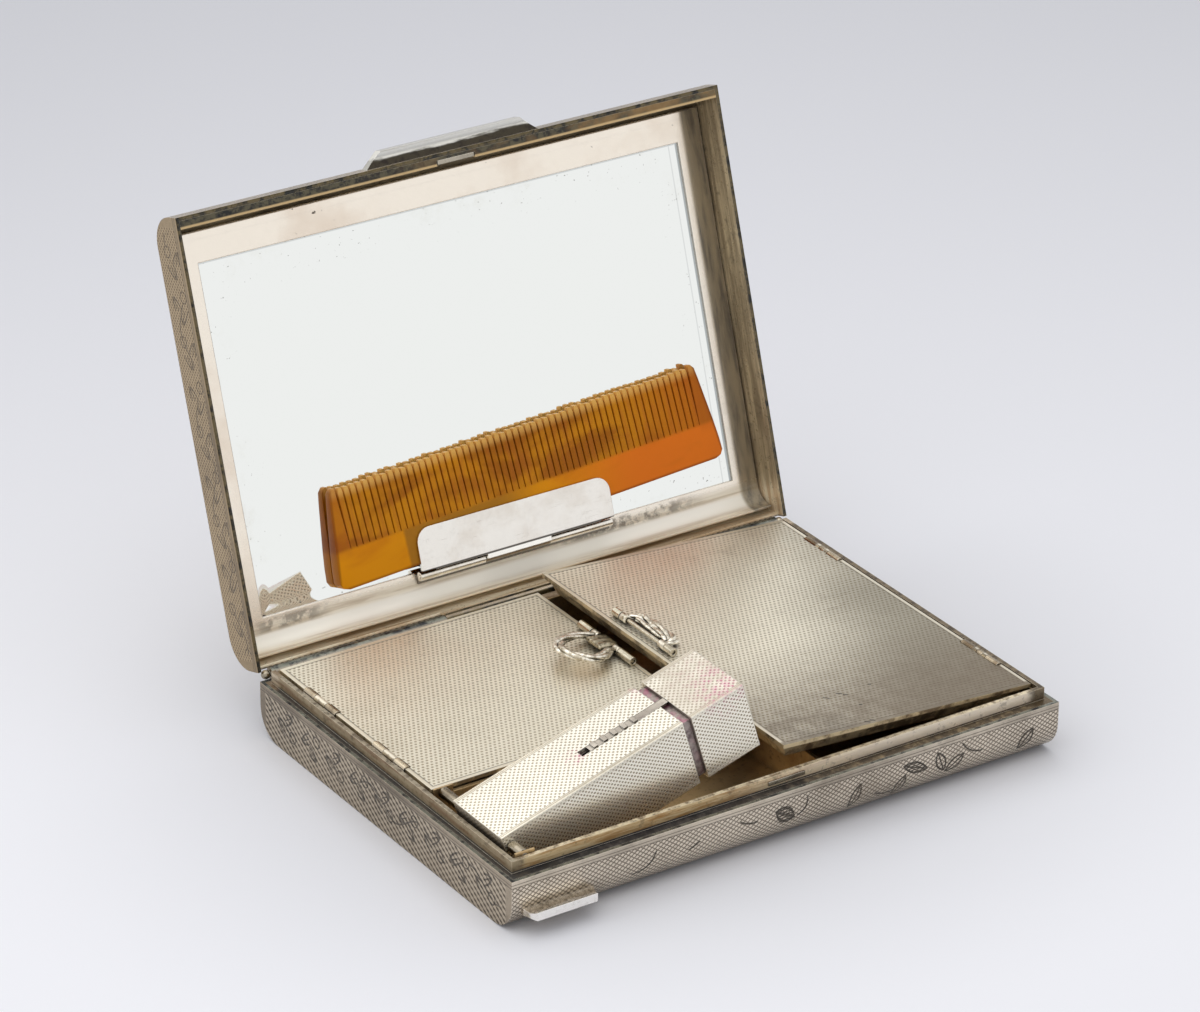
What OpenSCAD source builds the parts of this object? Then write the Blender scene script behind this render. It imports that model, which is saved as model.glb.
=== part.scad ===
// Hand-held silver vanity case, shown open: a base with three gilt wells under
// two hinged inner lids, a lipstick holder that tips up out of its well, and
// an outer lid with a mirror and a comb under a hinged clip.
// X runs along the front, Y to the hinge at the back, Z up from the table.

/* [Case] */
// Width of the case, side to side
case_w = 120; // [116:1:140]
// Depth of the case, front to back
case_d = 86.2; // [84:0.2:100]
// Height of the base at its outer edge
base_h = 10.8; // [10.8:0.1:12]
// Thickness of the outer lid
lid_h = 9.2; // [9.2:0.1:11]
// Radius of the rounded front and back edges
edge_r = 6; // [5:0.1:6.4]
// Thickness of the shell's sheet
wall = 0.7; // [0.6:0.05:0.8]
// Angle that the outer lid stands open at
open_angle = 108; // [95:1:115]
// Gap between the two halves when shut
closing_gap = 0.1; // [0.05:0.05:0.2]

/* [Main hinge] */
// Distance of the hinge line behind the back wall
hinge_back = 0.8; // [0.7:0.1:1.2]
// Height of the hinge line above the base's edge
hinge_up = 0.6; // [0.5:0.1:0.8]
// Outer radius of the hinge tubes
hinge_r = 1.2; // [1.1:0.05:1.3]
// Radius of the main hinge pin
hinge_pin_r = 0.6; // [0.5:0.05:0.7]
// Length of the lid's middle tube
hinge_middle = 38; // [24:1:50]
// Distance of the hinge's ends from the case's sides
hinge_inset = 2.6; // [2.6:0.1:6]

/* [Rim] */
// Width of the ledge outside the raised rim, at the sides
ledge_side = 1.6; // [1.4:0.1:2]
// Width of the ledge outside the raised rim, at the front
ledge_front = 2.5; // [2.2:0.1:3]
// Thickness of the raised rim
rim_t = 0.9; // [0.7:0.1:1]
// Height of the raised rim above the base's edge
rim_h = 2.4; // [2.4:0.1:2.8]
// Thickness of the ledge plate
ledge_t = 1.1; // [0.8:0.1:1.4]
// Width of the snap catch
catch_w = 8; // [6:1:14]

/* [Wells] */
// Thickness of the gilt wells' sheet
well_t = 0.4; // [0.3:0.05:0.45]
// Place of the wall between the two lids' wells, from the middle
split_x = 0.4; // [-3:0.2:3]
// Place of the wall between the left well and the lipstick's well
split_y = -12.5; // [-13.5:0.5:-11]
// Place of the far end of the lipstick's well
trough_end_x = 11.2; // [9:0.2:16]

/* [Inner lids] */
// Thickness of the inner lids' plate
plate_t = 0.8; // [0.7:0.1:0.9]
// Depth of the skirt under an inner lid
skirt_h = 2.4; // [2:0.1:2.8]
// Angle that the right inner lid stands ajar at
ajar_angle = 4; // [2:0.5:4]
// Outer radius of the inner lids' hinge tubes
small_hinge_r = 0.75; // [0.7:0.05:0.8]
// Radius of the inner lids' hinge pins
small_pin_r = 0.35; // [0.3:0.05:0.4]
// Length of one hinge on an inner lid
small_hinge_l = 11; // [9:1:14]

/* [Pulls] */
// Outer radius of the pulls' tubes
pull_r = 0.85; // [0.8:0.05:0.9]
// Radius of the pulls' pins
pull_pin_r = 0.4; // [0.3:0.05:0.45]
// Radius of the cast wire of the pulls
pull_wire_r = 0.6; // [0.5:0.05:0.65]
// Reach of the left pull's loop from its pin
loop_reach = 12.2; // [10:0.2:14]
// Angle that the left pull stands up at
loop_tilt = 14; // [8:1:16]
// Reach of the right pull's bail from its pin
bail_reach = 3.4; // [3:0.2:5]

/* [Lipstick holder] */
// Width of the holder
holder_w = 15.8; // [15:0.1:17]
// Height of the holder
holder_h = 14.1; // [13.5:0.1:14.1]
// Length of the holder's body
holder_l = 39.8; // [37:0.2:42]
// Length of the cap
cap_l = 11.6; // [11:0.1:13]
// Gap that the cap stands open by
cap_gap = 1.85; // [1:0.05:2.4]
// Angle that the holder stands up at
holder_tilt = 17; // [12:1:20]
// Thickness of the holder's sheet
holder_t = 0.7; // [0.6:0.05:0.8]
// Radius of the holder's pivot pin
pivot_r = 0.6; // [0.5:0.05:0.7]
// Radius of the lipstick
bullet_r = 4.4; // [3.5:0.1:4.8]

/* [Mirror and comb] */
// Distance of the mirror's window from the case's sides
window_side = 6.5; // [5:0.1:12]
// Distance of the window from the case's front
window_front = 10.2; // [9:0.1:16]
// Distance of the window from the case's back
window_back = 8.2; // [7:0.2:11]
// Thickness of the mirror glass
glass_t = 0.8; // [0.6:0.05:0.85]
// Length of the comb along its back
comb_l = 89; // [80:1:95]
// Height of the comb over its teeth
comb_h = 19.4; // [16:0.2:22]
// Thickness of the comb
comb_t = 2.6; // [2:0.1:2.7]
// Number of teeth
comb_teeth = 57; // [30:1:70]
// Length of the comb's clip
clip_l = 43.6; // [30:0.2:50]
// Reach of the clip's plate over the comb
clip_reach = 9.4; // [8:0.1:12]

/* [Thumbpieces] */
// Length of the lid's thumbpiece at its root
thumb_l = 38; // [24:1:50]
// Distance that both thumbpieces stand out
thumb_out = 3; // [2.4:0.1:3.4]
// Length of the base's tab at its root
tab_l = 14.6; // [10:0.2:24]

/* [Hidden] */
$fn = 48;

// Clearances that every fit shares
pin_clear = 0.05;   // round a pin, on its radius
knuckle_gap = 0.1;  // between the ends of hinge tubes
fit_gap = 0.1;      // between sheet parts that lie side by side
slide_gap = 0.1;    // between parts that slide in each other
tiny = 0.01;        // that a cut runs past a face

// Heights
floor_z = wall;
rim_top = base_h + rim_h;
plate_z = rim_top - plate_t + 0.2;        // underside of the inner lids, just proud of the rim
plate_top = plate_z + plate_t;
lid_rest = 0.3;                            // under the shut inner lids
well_top = plate_z - lid_rest;
low_wall_top = plate_z - skirt_h - lid_rest;  // walls that the right lid's skirt crosses
lid_z = base_h + closing_gap;             // the outer lid's edge when shut
lid_top = lid_z + lid_h;

// Faces of the raised rim
rim_out_x = case_w / 2 - ledge_side;
rim_in_x = rim_out_x - rim_t;
rim_out_y = case_d / 2 - ledge_front;
rim_in_y = rim_out_y - rim_t;
back_bar = 1.7;                            // width of the low bar along the back
back_bar_y = case_d / 2 - 1.5 - back_bar;  // its inner face

// Main hinge line
hinge_y = case_d / 2 + hinge_back;
hinge_z = base_h + hinge_up;
hinge_half = case_w / 2 - hinge_inset;
ball_r = 0.9;                              // round head of the main pin

// Inner lids
lid_edge_x = rim_in_x - 0.55;              // outer edge of both inner lids
small_axis_x = lid_edge_x - 0.45;
small_axis_z = plate_z + plate_t / 2;
center_gap = 0.4;                          // from the middle wall to each inner lid
lids_back_y = back_bar_y + 1.1;
right_front_y = -rim_in_y + 1.4;
left_front_y = split_y + 0.5;
skirt_inset = 0.2;
skirt_lean = 1.4;                          // how far the skirt leans in
skirt_t = 0.5;
hinge_place = 14.5;                        // hinges' middles from the lids' ends
left_hinges_y = [left_front_y + hinge_place, lids_back_y - hinge_place];
right_hinges_y = [right_front_y + hinge_place, lids_back_y - hinge_place];
leaf_t = 0.5;
lift_knuckle = 1.5;                        // tube of a lifting leaf on its pin
lift_t = 0.3;
lift_w = 9;
lift_reach = 26;                           // from the hinge line, under the right lid

// Pulls
pull_z = plate_top + pull_r + fit_gap;
left_pull_x = split_x - center_gap - 1.1;
left_pull_y = [6.8, 24.5];                 // ends of the left pull's tubes
left_loop_y = [12.2, 19.4];                // where the loop's collars sit
right_pull_x = split_x + center_gap + 2.2;
right_pull_y = [0, 19.5];
collar_l = 2;                              // width of a loop's collar
cam_reach = 3.2;                           // root block on the left pull's pin

// Lipstick holder, described seated flat and then tipped about its pivot
holder_over = 2.3;                         // seated holder above the rim
holder_z = rim_top + holder_over;
holder_y0 = -rim_in_y + 4.3;               // front face
pivot_in = 1.5;                            // pivot from the holder's end
pivot_down = 2.7;                          // pivot from the holder's top
pivot_x = -rim_in_x + 2.5;
pivot_z = holder_z - pivot_down;
holder_x0 = pivot_x - pivot_in;
inner_in = 1.4;                            // inner tube from the closed end, past the pivot
inner_out = 9.2;                           // inner tube past the body's mouth
inner_t = 0.4;
slot_w = 1.8;
slot_l = 17.3;                             // slot in the body, back from its mouth
stem_w = 1;
cup_l = 10;
ear_l = 4;                                 // ears that carry the pivot pin
ear_up = 1;                                // ears above the pin's middle

// Mirror, from the outer lid's top down
backing_t = 0.2;
glass_z = lid_top - wall - backing_t - glass_t;
frame_t = 0.4;
frame_z = glass_z - frame_t;
frame_gap = 0.25;                          // from the frame's sides to the shell
glass_lap = 1.2;                           // glass behind the frame, past the window
window_w = case_w - 2 * window_side;
window_y1 = case_d / 2 - window_back;
window_y0 = -case_d / 2 + window_front;

// Clip and comb, in the shut lid's frame
comb_z = frame_z + 0.25 - comb_t;          // its face away from the glass
comb_turn = 3.2;                           // the comb lies a little askew
comb_x = 6.8;                              // its middle
comb_back_y = window_y1 - 3.4;             // its back edge at the middle
comb_spine = 7.4;
comb_end_taper = 2.6;                      // each end draws in towards the teeth
tooth_margin = 4.2;                        // solid guard at each end
tooth_gap_share = 0.42;                    // gap as a share of the pitch
clip_t = 0.6;
clip_r = 0.9;
clip_pin_r = 0.4;
clip_x = 1.8;
clip_axis_y = window_y1 + 0.6;
clip_axis_z = frame_z - clip_r - leaf_t;
clip_plate_z = comb_z - fit_gap - clip_t;
clip_middle = clip_l / 3;
clip_corner_r = 3;

// Thumbpieces
thumb_taper = 3.6;                         // how much shorter each end is at the tip
thumb_t = 2;
thumb_z = lid_z + 0.4;
scoop_r = 3;
tab_x = -case_w / 2 + 2.4;                 // left end of the base's tab
tab_z = 3.4;
tab_t = 2;
tab_taper = 1;

echo(case_closed = lid_top, mirror_depth = glass_z - lid_z, comb_face = comb_z - lid_z);

// Cross-section of either half: flat at the bottom, its two long edges rounded,
// drawn in from the outer surface by "inset" and cut off at height "top"
module d_section(inset, top) {
    intersection() {
        union() {
            for (side = [-1, 1])
                translate([side * (case_d / 2 - edge_r), edge_r]) circle(edge_r - inset);
            translate([-case_d / 2 + inset, edge_r])
                square([case_d - 2 * inset, max(top, edge_r + 1)]);
            translate([-case_d / 2 + edge_r, inset])
                square([case_d - 2 * edge_r, edge_r - inset + tiny]);
        }
        translate([-case_d, 0]) square([2 * case_d, top]);
    }
}

// The cross-section run from x0 to x1
module d_solid(x0, x1, inset, top) {
    translate([x0, 0, 0]) rotate([90, 0, 90]) linear_extrude(x1 - x0) d_section(inset, top);
}

// A box given by its two corners
module block(low, high) {
    translate(low) cube(high - low);
}

// A round bar along X from x0 to x1
module bar_x(x0, x1, y, z, r) {
    translate([x0, y, z]) rotate([0, 90, 0]) cylinder(r = r, h = x1 - x0);
}

// A round bar along Y from y0 to y1
module bar_y(y0, y1, x, z, r) {
    translate([x, y0, z]) rotate([-90, 0, 0]) cylinder(r = r, h = y1 - y0);
}

// Swings its children from shut to open with the outer lid
module with_outer_lid() {
    translate([0, hinge_y, hinge_z]) rotate([-open_angle, 0, 0])
        translate([0, -hinge_y, -hinge_z]) children();
}

// Lifts its children with the right inner lid, which stands ajar
module with_right_lid() {
    translate([small_axis_x, 0, small_axis_z]) rotate([0, ajar_angle, 0])
        translate([-small_axis_x, 0, -small_axis_z]) children();
}

// Tips its children up with the lipstick holder
module with_holder() {
    translate([pivot_x, 0, pivot_z]) rotate([0, -holder_tilt, 0])
        translate([-pivot_x, 0, -pivot_z]) children();
}

// Raises its children with the left pull
module with_left_pull() {
    translate([left_pull_x, 0, pull_z]) rotate([0, loop_tilt, 0])
        translate([-left_pull_x, 0, -pull_z]) children();
}

// The tubes of the main hinge from x0 to x1, with the web that joins them to a wall
module hinge_tube(x0, x1, web_z0, web_z1) {
    bar_x(x0, x1, hinge_y, hinge_z, hinge_r);
    block([x0, case_d / 2 - wall, web_z0], [x1, hinge_y, web_z1]);
}

module base_shell() {
    mid = hinge_middle / 2;
    color("silver") difference() {
        union() {
            difference() {
                d_solid(-case_w / 2, case_w / 2, 0, base_h);
                d_solid(-case_w / 2 + wall, case_w / 2 - wall, wall, base_h + tiny);
            }
            for (side = [0, 1]) mirror([side, 0, 0])
                hinge_tube(mid + knuckle_gap, hinge_half, base_h - hinge_r, hinge_z);
        }
        // room for the lid's middle tube and its web
        bar_x(-mid, mid, hinge_y, hinge_z, hinge_r + fit_gap);
        block([-mid - tiny, case_d / 2 - wall - tiny, base_h - hinge_r],
              [mid + tiny, hinge_y, base_h + tiny]);
        bar_x(-case_w, case_w, hinge_y, hinge_z, hinge_pin_r + pin_clear);
    }
}

module base_rim() {
    color("tan") difference() {
        union() {
            block([-case_w / 2 + wall, -case_d / 2 + wall, base_h - ledge_t],
                  [case_w / 2 - wall, case_d / 2 - wall, base_h]);
            block([-rim_out_x, -rim_out_y, base_h - tiny],
                  [rim_out_x, back_bar_y + back_bar, rim_top]);
        }
        block([-rim_in_x, -rim_in_y, 0], [rim_in_x, back_bar_y, rim_top + tiny]);
        // the bar along the back stays low, under the inner lids
        block([-rim_in_x, back_bar_y - tiny, well_top], [rim_in_x, case_d, rim_top + tiny]);
    }
}

// Snap bead on the rim's front face
module base_catch() {
    bead = 0.25;
    color("silver") block([-catch_w / 2, -rim_out_y - bead, base_h + 0.8],
                          [catch_w / 2, -rim_out_y, base_h + 1.6]);
}

// Tab low on the front wall, hollowed along its top
module base_tab() {
    color("white") difference() {
        translate([0, 0, tab_z]) linear_extrude(tab_t) polygon([
            [tab_x, -case_d / 2 + 1], [tab_x, -case_d / 2],
            [tab_x + tab_taper, -case_d / 2 - thumb_out],
            [tab_x + tab_l - tab_taper, -case_d / 2 - thumb_out],
            [tab_x + tab_l, -case_d / 2], [tab_x + tab_l, -case_d / 2 + 1]]);
        d_solid(-case_w, case_w, 0, base_h);
        bar_x(-case_w, case_w, -case_d / 2 - thumb_out / 2 + 0.3,
              tab_z + tab_t + scoop_r - 0.9, scoop_r);
    }
}

// A gilt well: its outside follows the base's inner surface, its walls reach "top"
module well(x0, x1, y0, y1, top) {
    difference() {
        intersection() {
            block([x0, y0, floor_z], [x1, y1, top]);
            d_solid(x0 - 1, x1 + 1, wall, top + 1);
        }
        intersection() {
            block([x0 + well_t, y0 + well_t, 0], [x1 - well_t, y1 - well_t, top + tiny]);
            d_solid(x0, x1, wall + well_t, top + 1);
        }
    }
}

well_x = rim_in_x - fit_gap;
well_y0 = -rim_in_y + fit_gap;
well_y1 = back_bar_y - fit_gap;
half_gap = fit_gap / 2;

module left_well() {
    color("goldenrod") difference() {
        well(-well_x, split_x - half_gap, split_y + half_gap, well_y1, well_top);
        hinge_leaf_room(-1, left_hinges_y);
    }
}

module right_well() {
    color("goldenrod") difference() {
        union() {
            // the main part, and the part behind the lipstick's well
            difference() {
                well(split_x + half_gap, well_x, well_y0, well_y1, well_top);
                block([split_x - 1, well_y0 - 1, 0],
                      [trough_end_x + half_gap, split_y + half_gap, rim_top]);
            }
            // the two walls along the lipstick's well
            block([split_x + half_gap, split_y + half_gap, floor_z],
                  [trough_end_x + half_gap + well_t, split_y + half_gap + well_t, low_wall_top]);
            intersection() {
                block([trough_end_x + half_gap, well_y0, floor_z],
                      [trough_end_x + half_gap + well_t, split_y + half_gap + well_t,
                       low_wall_top]);
                d_solid(0, case_w / 2, wall, rim_top);
            }
        }
        hinge_leaf_room(1, right_hinges_y);
    }
}

module lipstick_well() {
    rear = split_y - half_gap;
    ear_top = pivot_z + ear_up;
    color("goldenrod") difference() {
        union() {
            well(-well_x, trough_end_x - half_gap, well_y0, rear, well_top);
            for (y = [well_y0, rear - well_t])
                block([pivot_x - ear_l / 2, y, well_top - 1],
                      [pivot_x + ear_l / 2, y + well_t, ear_top]);
        }
        // low walls where the right lid's skirt comes down
        block([split_x, well_y0 + well_t, low_wall_top], [trough_end_x, rear + 1, rim_top]);
        bar_y(well_y0 - 1, rear + 1, pivot_x, pivot_z, pivot_r + pin_clear);
    }
}

module main_hinge_pin() {
    color("silver") {
        bar_x(-hinge_half, hinge_half, hinge_y, hinge_z, hinge_pin_r);
        for (side = [-1, 1])
            translate([side * (hinge_half + ball_r), hinge_y, hinge_z]) {
                sphere(ball_r);
                rotate([0, -side * 90, 0]) cylinder(r = hinge_pin_r, h = ball_r + 1);
            }
    }
}

// Small hinges: a middle tube on the lid between two tubes on the rim
small_knuckle = (small_hinge_l - 2 * knuckle_gap) / 3;

// Room in a well's side wall and in the inner lid for the small hinges
module hinge_leaf_room(side, places) {
    for (y = places)
        block([side > 0 ? small_axis_x - small_hinge_r - fit_gap : -rim_in_x - 1,
               y - small_hinge_l / 2 - knuckle_gap,
               small_axis_z - small_hinge_r - leaf_t - 2 * fit_gap],
              [side > 0 ? rim_in_x + 1 : -small_axis_x + small_hinge_r + fit_gap,
               y + small_hinge_l / 2 + knuckle_gap, rim_top + 2]);
}

// Fixed tubes of the small hinges, on a leaf against the rim
module fixed_small_tubes(side, places) {
    for (y = places) difference() {
        union() {
            for (end = [-1, 1]) {
                y_mid = y + end * (small_knuckle + knuckle_gap);
                bar_y(y_mid - small_knuckle / 2, y_mid + small_knuckle / 2,
                      side * small_axis_x, small_axis_z, small_hinge_r);
                translate([side > 0 ? small_axis_x : -rim_in_x, y_mid - small_knuckle / 2,
                           small_axis_z - small_hinge_r])
                    cube([rim_in_x - small_axis_x, small_knuckle, small_hinge_r]);
            }
            translate([side > 0 ? small_axis_x - small_hinge_r : -rim_in_x,
                       y - small_hinge_l / 2, small_axis_z - small_hinge_r - leaf_t - fit_gap])
                cube([rim_in_x - small_axis_x + small_hinge_r, small_hinge_l, leaf_t]);
            for (end = [-1, 1])
                translate([side > 0 ? small_axis_x : -rim_in_x,
                           y + end * (small_knuckle + knuckle_gap) - small_knuckle / 2,
                           small_axis_z - small_hinge_r - fit_gap - tiny])
                    cube([rim_in_x - small_axis_x, small_knuckle, fit_gap + 2 * tiny]);
        }
        bar_y(y - small_hinge_l, y + small_hinge_l, side * small_axis_x, small_axis_z,
              small_pin_r + pin_clear);
    }
}

module left_hinge_tubes() { color("silver") fixed_small_tubes(-1, left_hinges_y); }

module right_hinge_tubes() { color("silver") fixed_small_tubes(1, right_hinges_y); }

module small_pins(side, places) {
    for (y = places)
        bar_y(y - small_hinge_l / 2, y + small_hinge_l / 2, side * small_axis_x, small_axis_z,
              small_pin_r);
}

module left_hinge_pins() { color("gray") small_pins(-1, left_hinges_y); }

module right_hinge_pins() { color("gray") with_right_lid() small_pins(1, right_hinges_y); }

// Two sprung leaves on the right lid's pins hold it ajar from below
module right_lift_leaves() {
    z1 = plate_z - fit_gap;
    color("silver") with_right_lid() for (y = right_hinges_y) difference() {
        union() {
            bar_y(y - lift_knuckle / 2, y + lift_knuckle / 2, small_axis_x, small_axis_z,
                  small_hinge_r);
            block([small_axis_x - 4, y - lift_knuckle / 2, z1 - lift_t],
                  [small_axis_x, y + lift_knuckle / 2, z1]);
            block([small_axis_x - lift_reach, y - lift_w / 2, z1 - lift_t],
                  [small_axis_x - 3, y + lift_w / 2, z1]);
        }
        bar_y(y - small_knuckle, y + small_knuckle, small_axis_x, small_axis_z,
              small_pin_r + pin_clear);
    }
}

// A block whose front, back and free side lean in below the plate, drawn in by "inset"
module leaning_block(hinge_x, edge_x, y0, y1, inset, depth) {
    z0 = plate_z - depth;
    z1 = plate_z + plate_t / 2;
    lean = skirt_lean * (z1 - z0) / (skirt_h + plate_t / 2);
    in = edge_x > hinge_x ? -1 : 1;
    intersection() {
        translate([min(hinge_x, edge_x) - 1, 0, 0]) rotate([90, 0, 90])
            linear_extrude(abs(edge_x - hinge_x) + 2) polygon([
                [y0 + inset, z1], [y1 - inset, z1],
                [y1 - inset - lean, z0], [y0 + inset + lean, z0]]);
        translate([0, y1 + 1, 0]) rotate([90, 0, 0]) linear_extrude(y1 - y0 + 2) polygon([
            [hinge_x, z1], [edge_x + in * inset, z1],
            [edge_x + in * (inset + lean), z0], [hinge_x, z0]]);
    }
}

// An inner lid: plate, skirts on its three free sides, and its hinge tubes.
// It lies from its hinge to free_x; side is -1 for the left one.
module inner_lid(side, free_x, front_y, places, back_y) {
    low_x = side < 0 ? -lid_edge_x : free_x;
    high_x = side < 0 ? free_x : lid_edge_x;
    near_hinge = side * (small_axis_x - small_hinge_r - 1);
    edge_x = free_x + side * skirt_inset;
    web = small_hinge_r + fit_gap + 1;
    difference() {
        union() {
            difference() {
                block([low_x, front_y, plate_z], [high_x, lids_back_y, plate_top]);
                hinge_leaf_room(side, places);
            }
            difference() {
                leaning_block(near_hinge, edge_x, front_y + skirt_inset, back_y, 0, skirt_h);
                leaning_block(near_hinge + side, edge_x, front_y + skirt_inset, back_y,
                              skirt_t, skirt_h + 1);
            }
            for (y = places) {
                bar_y(y - small_knuckle / 2, y + small_knuckle / 2, side * small_axis_x,
                      small_axis_z, small_hinge_r);
                block([side < 0 ? -small_axis_x : small_axis_x - web, y - small_knuckle / 2,
                       plate_z],
                      [side < 0 ? -small_axis_x + web : small_axis_x, y + small_knuckle / 2,
                       plate_top]);
            }
        }
        for (y = places)
            bar_y(y - small_knuckle / 2 - tiny, y + small_knuckle / 2 + tiny,
                  side * small_axis_x, small_axis_z, small_pin_r + pin_clear);
        if (side > 0) for (y = places)
            block([small_axis_x - small_hinge_r - fit_gap,
                   y - lift_knuckle / 2 - knuckle_gap, plate_z - 1],
                  [small_axis_x + 1, y + lift_knuckle / 2 + knuckle_gap, plate_top + 1]);
    }
}

skirt_back_y = well_y1 - well_t - lid_rest;

module left_inner_lid() {
    color("gainsboro")
        inner_lid(-1, split_x - center_gap, left_front_y, left_hinges_y, skirt_back_y);
}

module right_inner_lid() {
    color("gainsboro") with_right_lid()
        inner_lid(1, split_x + center_gap, right_front_y, right_hinges_y, skirt_back_y);
}

// Fixed tubes of a pull from y0 to y1, outside its collars, on a foot
module pull_tubes(x, ends, collars) {
    difference() {
        for (part = [[ends[0], collars[0] - collar_l / 2 - knuckle_gap],
                     [collars[1] + collar_l / 2 + knuckle_gap, ends[1]]]) {
            bar_y(part[0], part[1], x, pull_z, pull_r);
            block([x - pull_r / 2, part[0], plate_top], [x + pull_r / 2, part[1], pull_z]);
        }
        bar_y(ends[0] - 1, ends[1] + 1, x, pull_z, pull_pin_r + pin_clear);
    }
}

module left_pull_tubes() {
    color("silver") pull_tubes(left_pull_x, left_pull_y, left_loop_y);
}

right_bail_y = [right_pull_y[0] + 3.4, right_pull_y[1] - 3.4];

module right_pull_tubes() {
    color("silver") with_right_lid() pull_tubes(right_pull_x, right_pull_y, right_bail_y);
}

module left_pull_pin() {
    color("gray") with_left_pull()
        bar_y(left_pull_y[0] + 0.3, left_pull_y[1] - 0.3, left_pull_x, pull_z, pull_pin_r);
}

// Root block on the left pull's pin, between the collars: it raises the loop
module left_pull_root() {
    half = (left_loop_y[1] - left_loop_y[0] - collar_l) / 2 - knuckle_gap;
    y_mid = (left_loop_y[0] + left_loop_y[1]) / 2;
    color("silver") with_left_pull() difference() {
        union() {
            bar_y(y_mid - half, y_mid + half, left_pull_x, pull_z, pull_r);
            block([left_pull_x - cam_reach, y_mid - half, pull_z - pull_r],
                  [left_pull_x, y_mid + half, pull_z + pull_r]);
        }
        bar_y(y_mid - half - 1, y_mid + half + 1, left_pull_x, pull_z, pull_pin_r + pin_clear);
    }
}

module right_pull_pin() {
    color("gray") with_right_lid()
        bar_y(right_pull_y[0] + 0.3, right_pull_y[1] - 0.3, right_pull_x, pull_z, pull_pin_r);
}

// Points of a smooth curve through a list of points, "steps" to each span
function curve_at(p, i, t) =
    let (a = p[max(i - 1, 0)], b = p[i], c = p[i + 1], d = p[min(i + 2, len(p) - 1)])
    0.5 * (2 * b + (c - a) * t + (2 * a - 5 * b + 4 * c - d) * t * t
           + (3 * b - a - 3 * c + d) * t * t * t);
function smooth(p, steps) =
    [for (i = [0 : len(p) - 2], k = [0 : steps - 1]) curve_at(p, i, k / steps), p[len(p) - 1]];
function beside(p, r) = [for (i = [0 : len(p) - 1])
    let (run = p[min(i + 1, len(p) - 1)] - p[max(i - 1, 0)])
    p[i] + r * [run[1], -run[0]] / norm(run)];
function reversed(p) = [for (i = [len(p) - 1 : -1 : 0]) p[i]];

// Cast loop or bail: two collars on the pin and a bar bent between them.
// outline holds [reach, place along the pin] pairs; turn is 1 or -1 for its side.
module cast_loop(x, collars, outline, turn) {
    line = smooth([for (p = outline) [x + turn * p[0], p[1]]], 4);
    difference() {
        union() {
            for (y = collars) bar_y(y - collar_l / 2, y + collar_l / 2, x, pull_z, pull_r);
            translate([0, 0, pull_z - pull_wire_r]) linear_extrude(2 * pull_wire_r)
                polygon(concat(beside(line, pull_wire_r), reversed(beside(line, -pull_wire_r))));
        }
        bar_y(collars[0] - 9, collars[1] + 9, x, pull_z, pull_pin_r + pin_clear);
    }
}

// The left loop widens like a leaf and comes to a blunt tip
left_loop = [for (p = [[0.06, 1], [0.33, 1.11], [0.66, 0.94], [0.9, 0.6], [1, 0.22],
                       [0.92, -0.25], [0.7, -0.62], [0.42, -0.48], [0.2, -0.1], [0.06, 0]])
    [p[0] * loop_reach, left_loop_y[0] + p[1] * (left_loop_y[1] - left_loop_y[0])]];

right_bail = [for (p = [[0.25, 1], [0.85, 0.93], [1, 0.7], [0.96, 0.3], [0.8, 0.06], [0.25, 0]])
    [p[0] * bail_reach, right_bail_y[0] + p[1] * (right_bail_y[1] - right_bail_y[0])]];

module left_pull_loop() {
    color("silver") with_left_pull() cast_loop(left_pull_x, left_loop_y, left_loop, -1);
}

module right_pull_bail() {
    color("silver") with_right_lid() cast_loop(right_pull_x, right_bail_y, right_bail, 1);
}

module holder_pivot_pin() {
    color("gray") with_holder()
        bar_y(well_y0, split_y - half_gap, pivot_x, pivot_z, pivot_r);
}

// Two sleeves on the pivot pin keep the holder in its place across the well
module pivot_sleeves() {
    sleeve_r = 1.1;
    rear = split_y - half_gap - well_t;
    color("silver") with_holder() difference() {
        union() {
            bar_y(well_y0 + well_t + fit_gap, holder_y0 - fit_gap, pivot_x, pivot_z, sleeve_r);
            bar_y(holder_y0 + holder_w + fit_gap, rear - fit_gap, pivot_x, pivot_z, sleeve_r);
        }
        bar_y(well_y0, rear, pivot_x, pivot_z, pivot_r + pin_clear);
    }
}

// A box of the holder, from x0 to x1 along it and drawn in on all four sides
module holder_block(x0, x1, inset) {
    block([holder_x0 + x0, holder_y0 + inset, holder_z - holder_h + inset],
          [holder_x0 + x1, holder_y0 + holder_w - inset, holder_z - inset]);
}

holder_mid_y = holder_y0 + holder_w / 2;
holder_mid_z = holder_z - holder_h / 2;
inner_inset = holder_t + slide_gap;
inner_x0 = pivot_in + pivot_r + inner_in;
inner_x1 = holder_l + inner_out;

module holder_body() {
    color("gainsboro") with_holder() difference() {
        holder_block(0, holder_l, 0);
        holder_block(holder_t, holder_l + 1, holder_t);
        block([holder_x0 + holder_l - slot_l, holder_mid_y - slot_w / 2, holder_z - holder_t - tiny],
              [holder_x0 + holder_l + 1, holder_mid_y + slot_w / 2, holder_z + 1]);
        bar_y(holder_y0 - 1, holder_y0 + holder_w + 1, pivot_x, pivot_z, pivot_r + pin_clear);
    }
}

module holder_inner_tube() {
    color("silver") with_holder() difference() {
        holder_block(inner_x0, inner_x1, inner_inset);
        holder_block(inner_x0 - 1, inner_x1 + 1, inner_inset + inner_t);
        block([holder_x0 + holder_l - slot_l - 1, holder_mid_y - stem_w / 2 - slide_gap,
               holder_z - inner_inset - inner_t - tiny],
              [holder_x0 + inner_x1 + 1, holder_mid_y + stem_w / 2 + slide_gap, holder_z]);
    }
}

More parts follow.
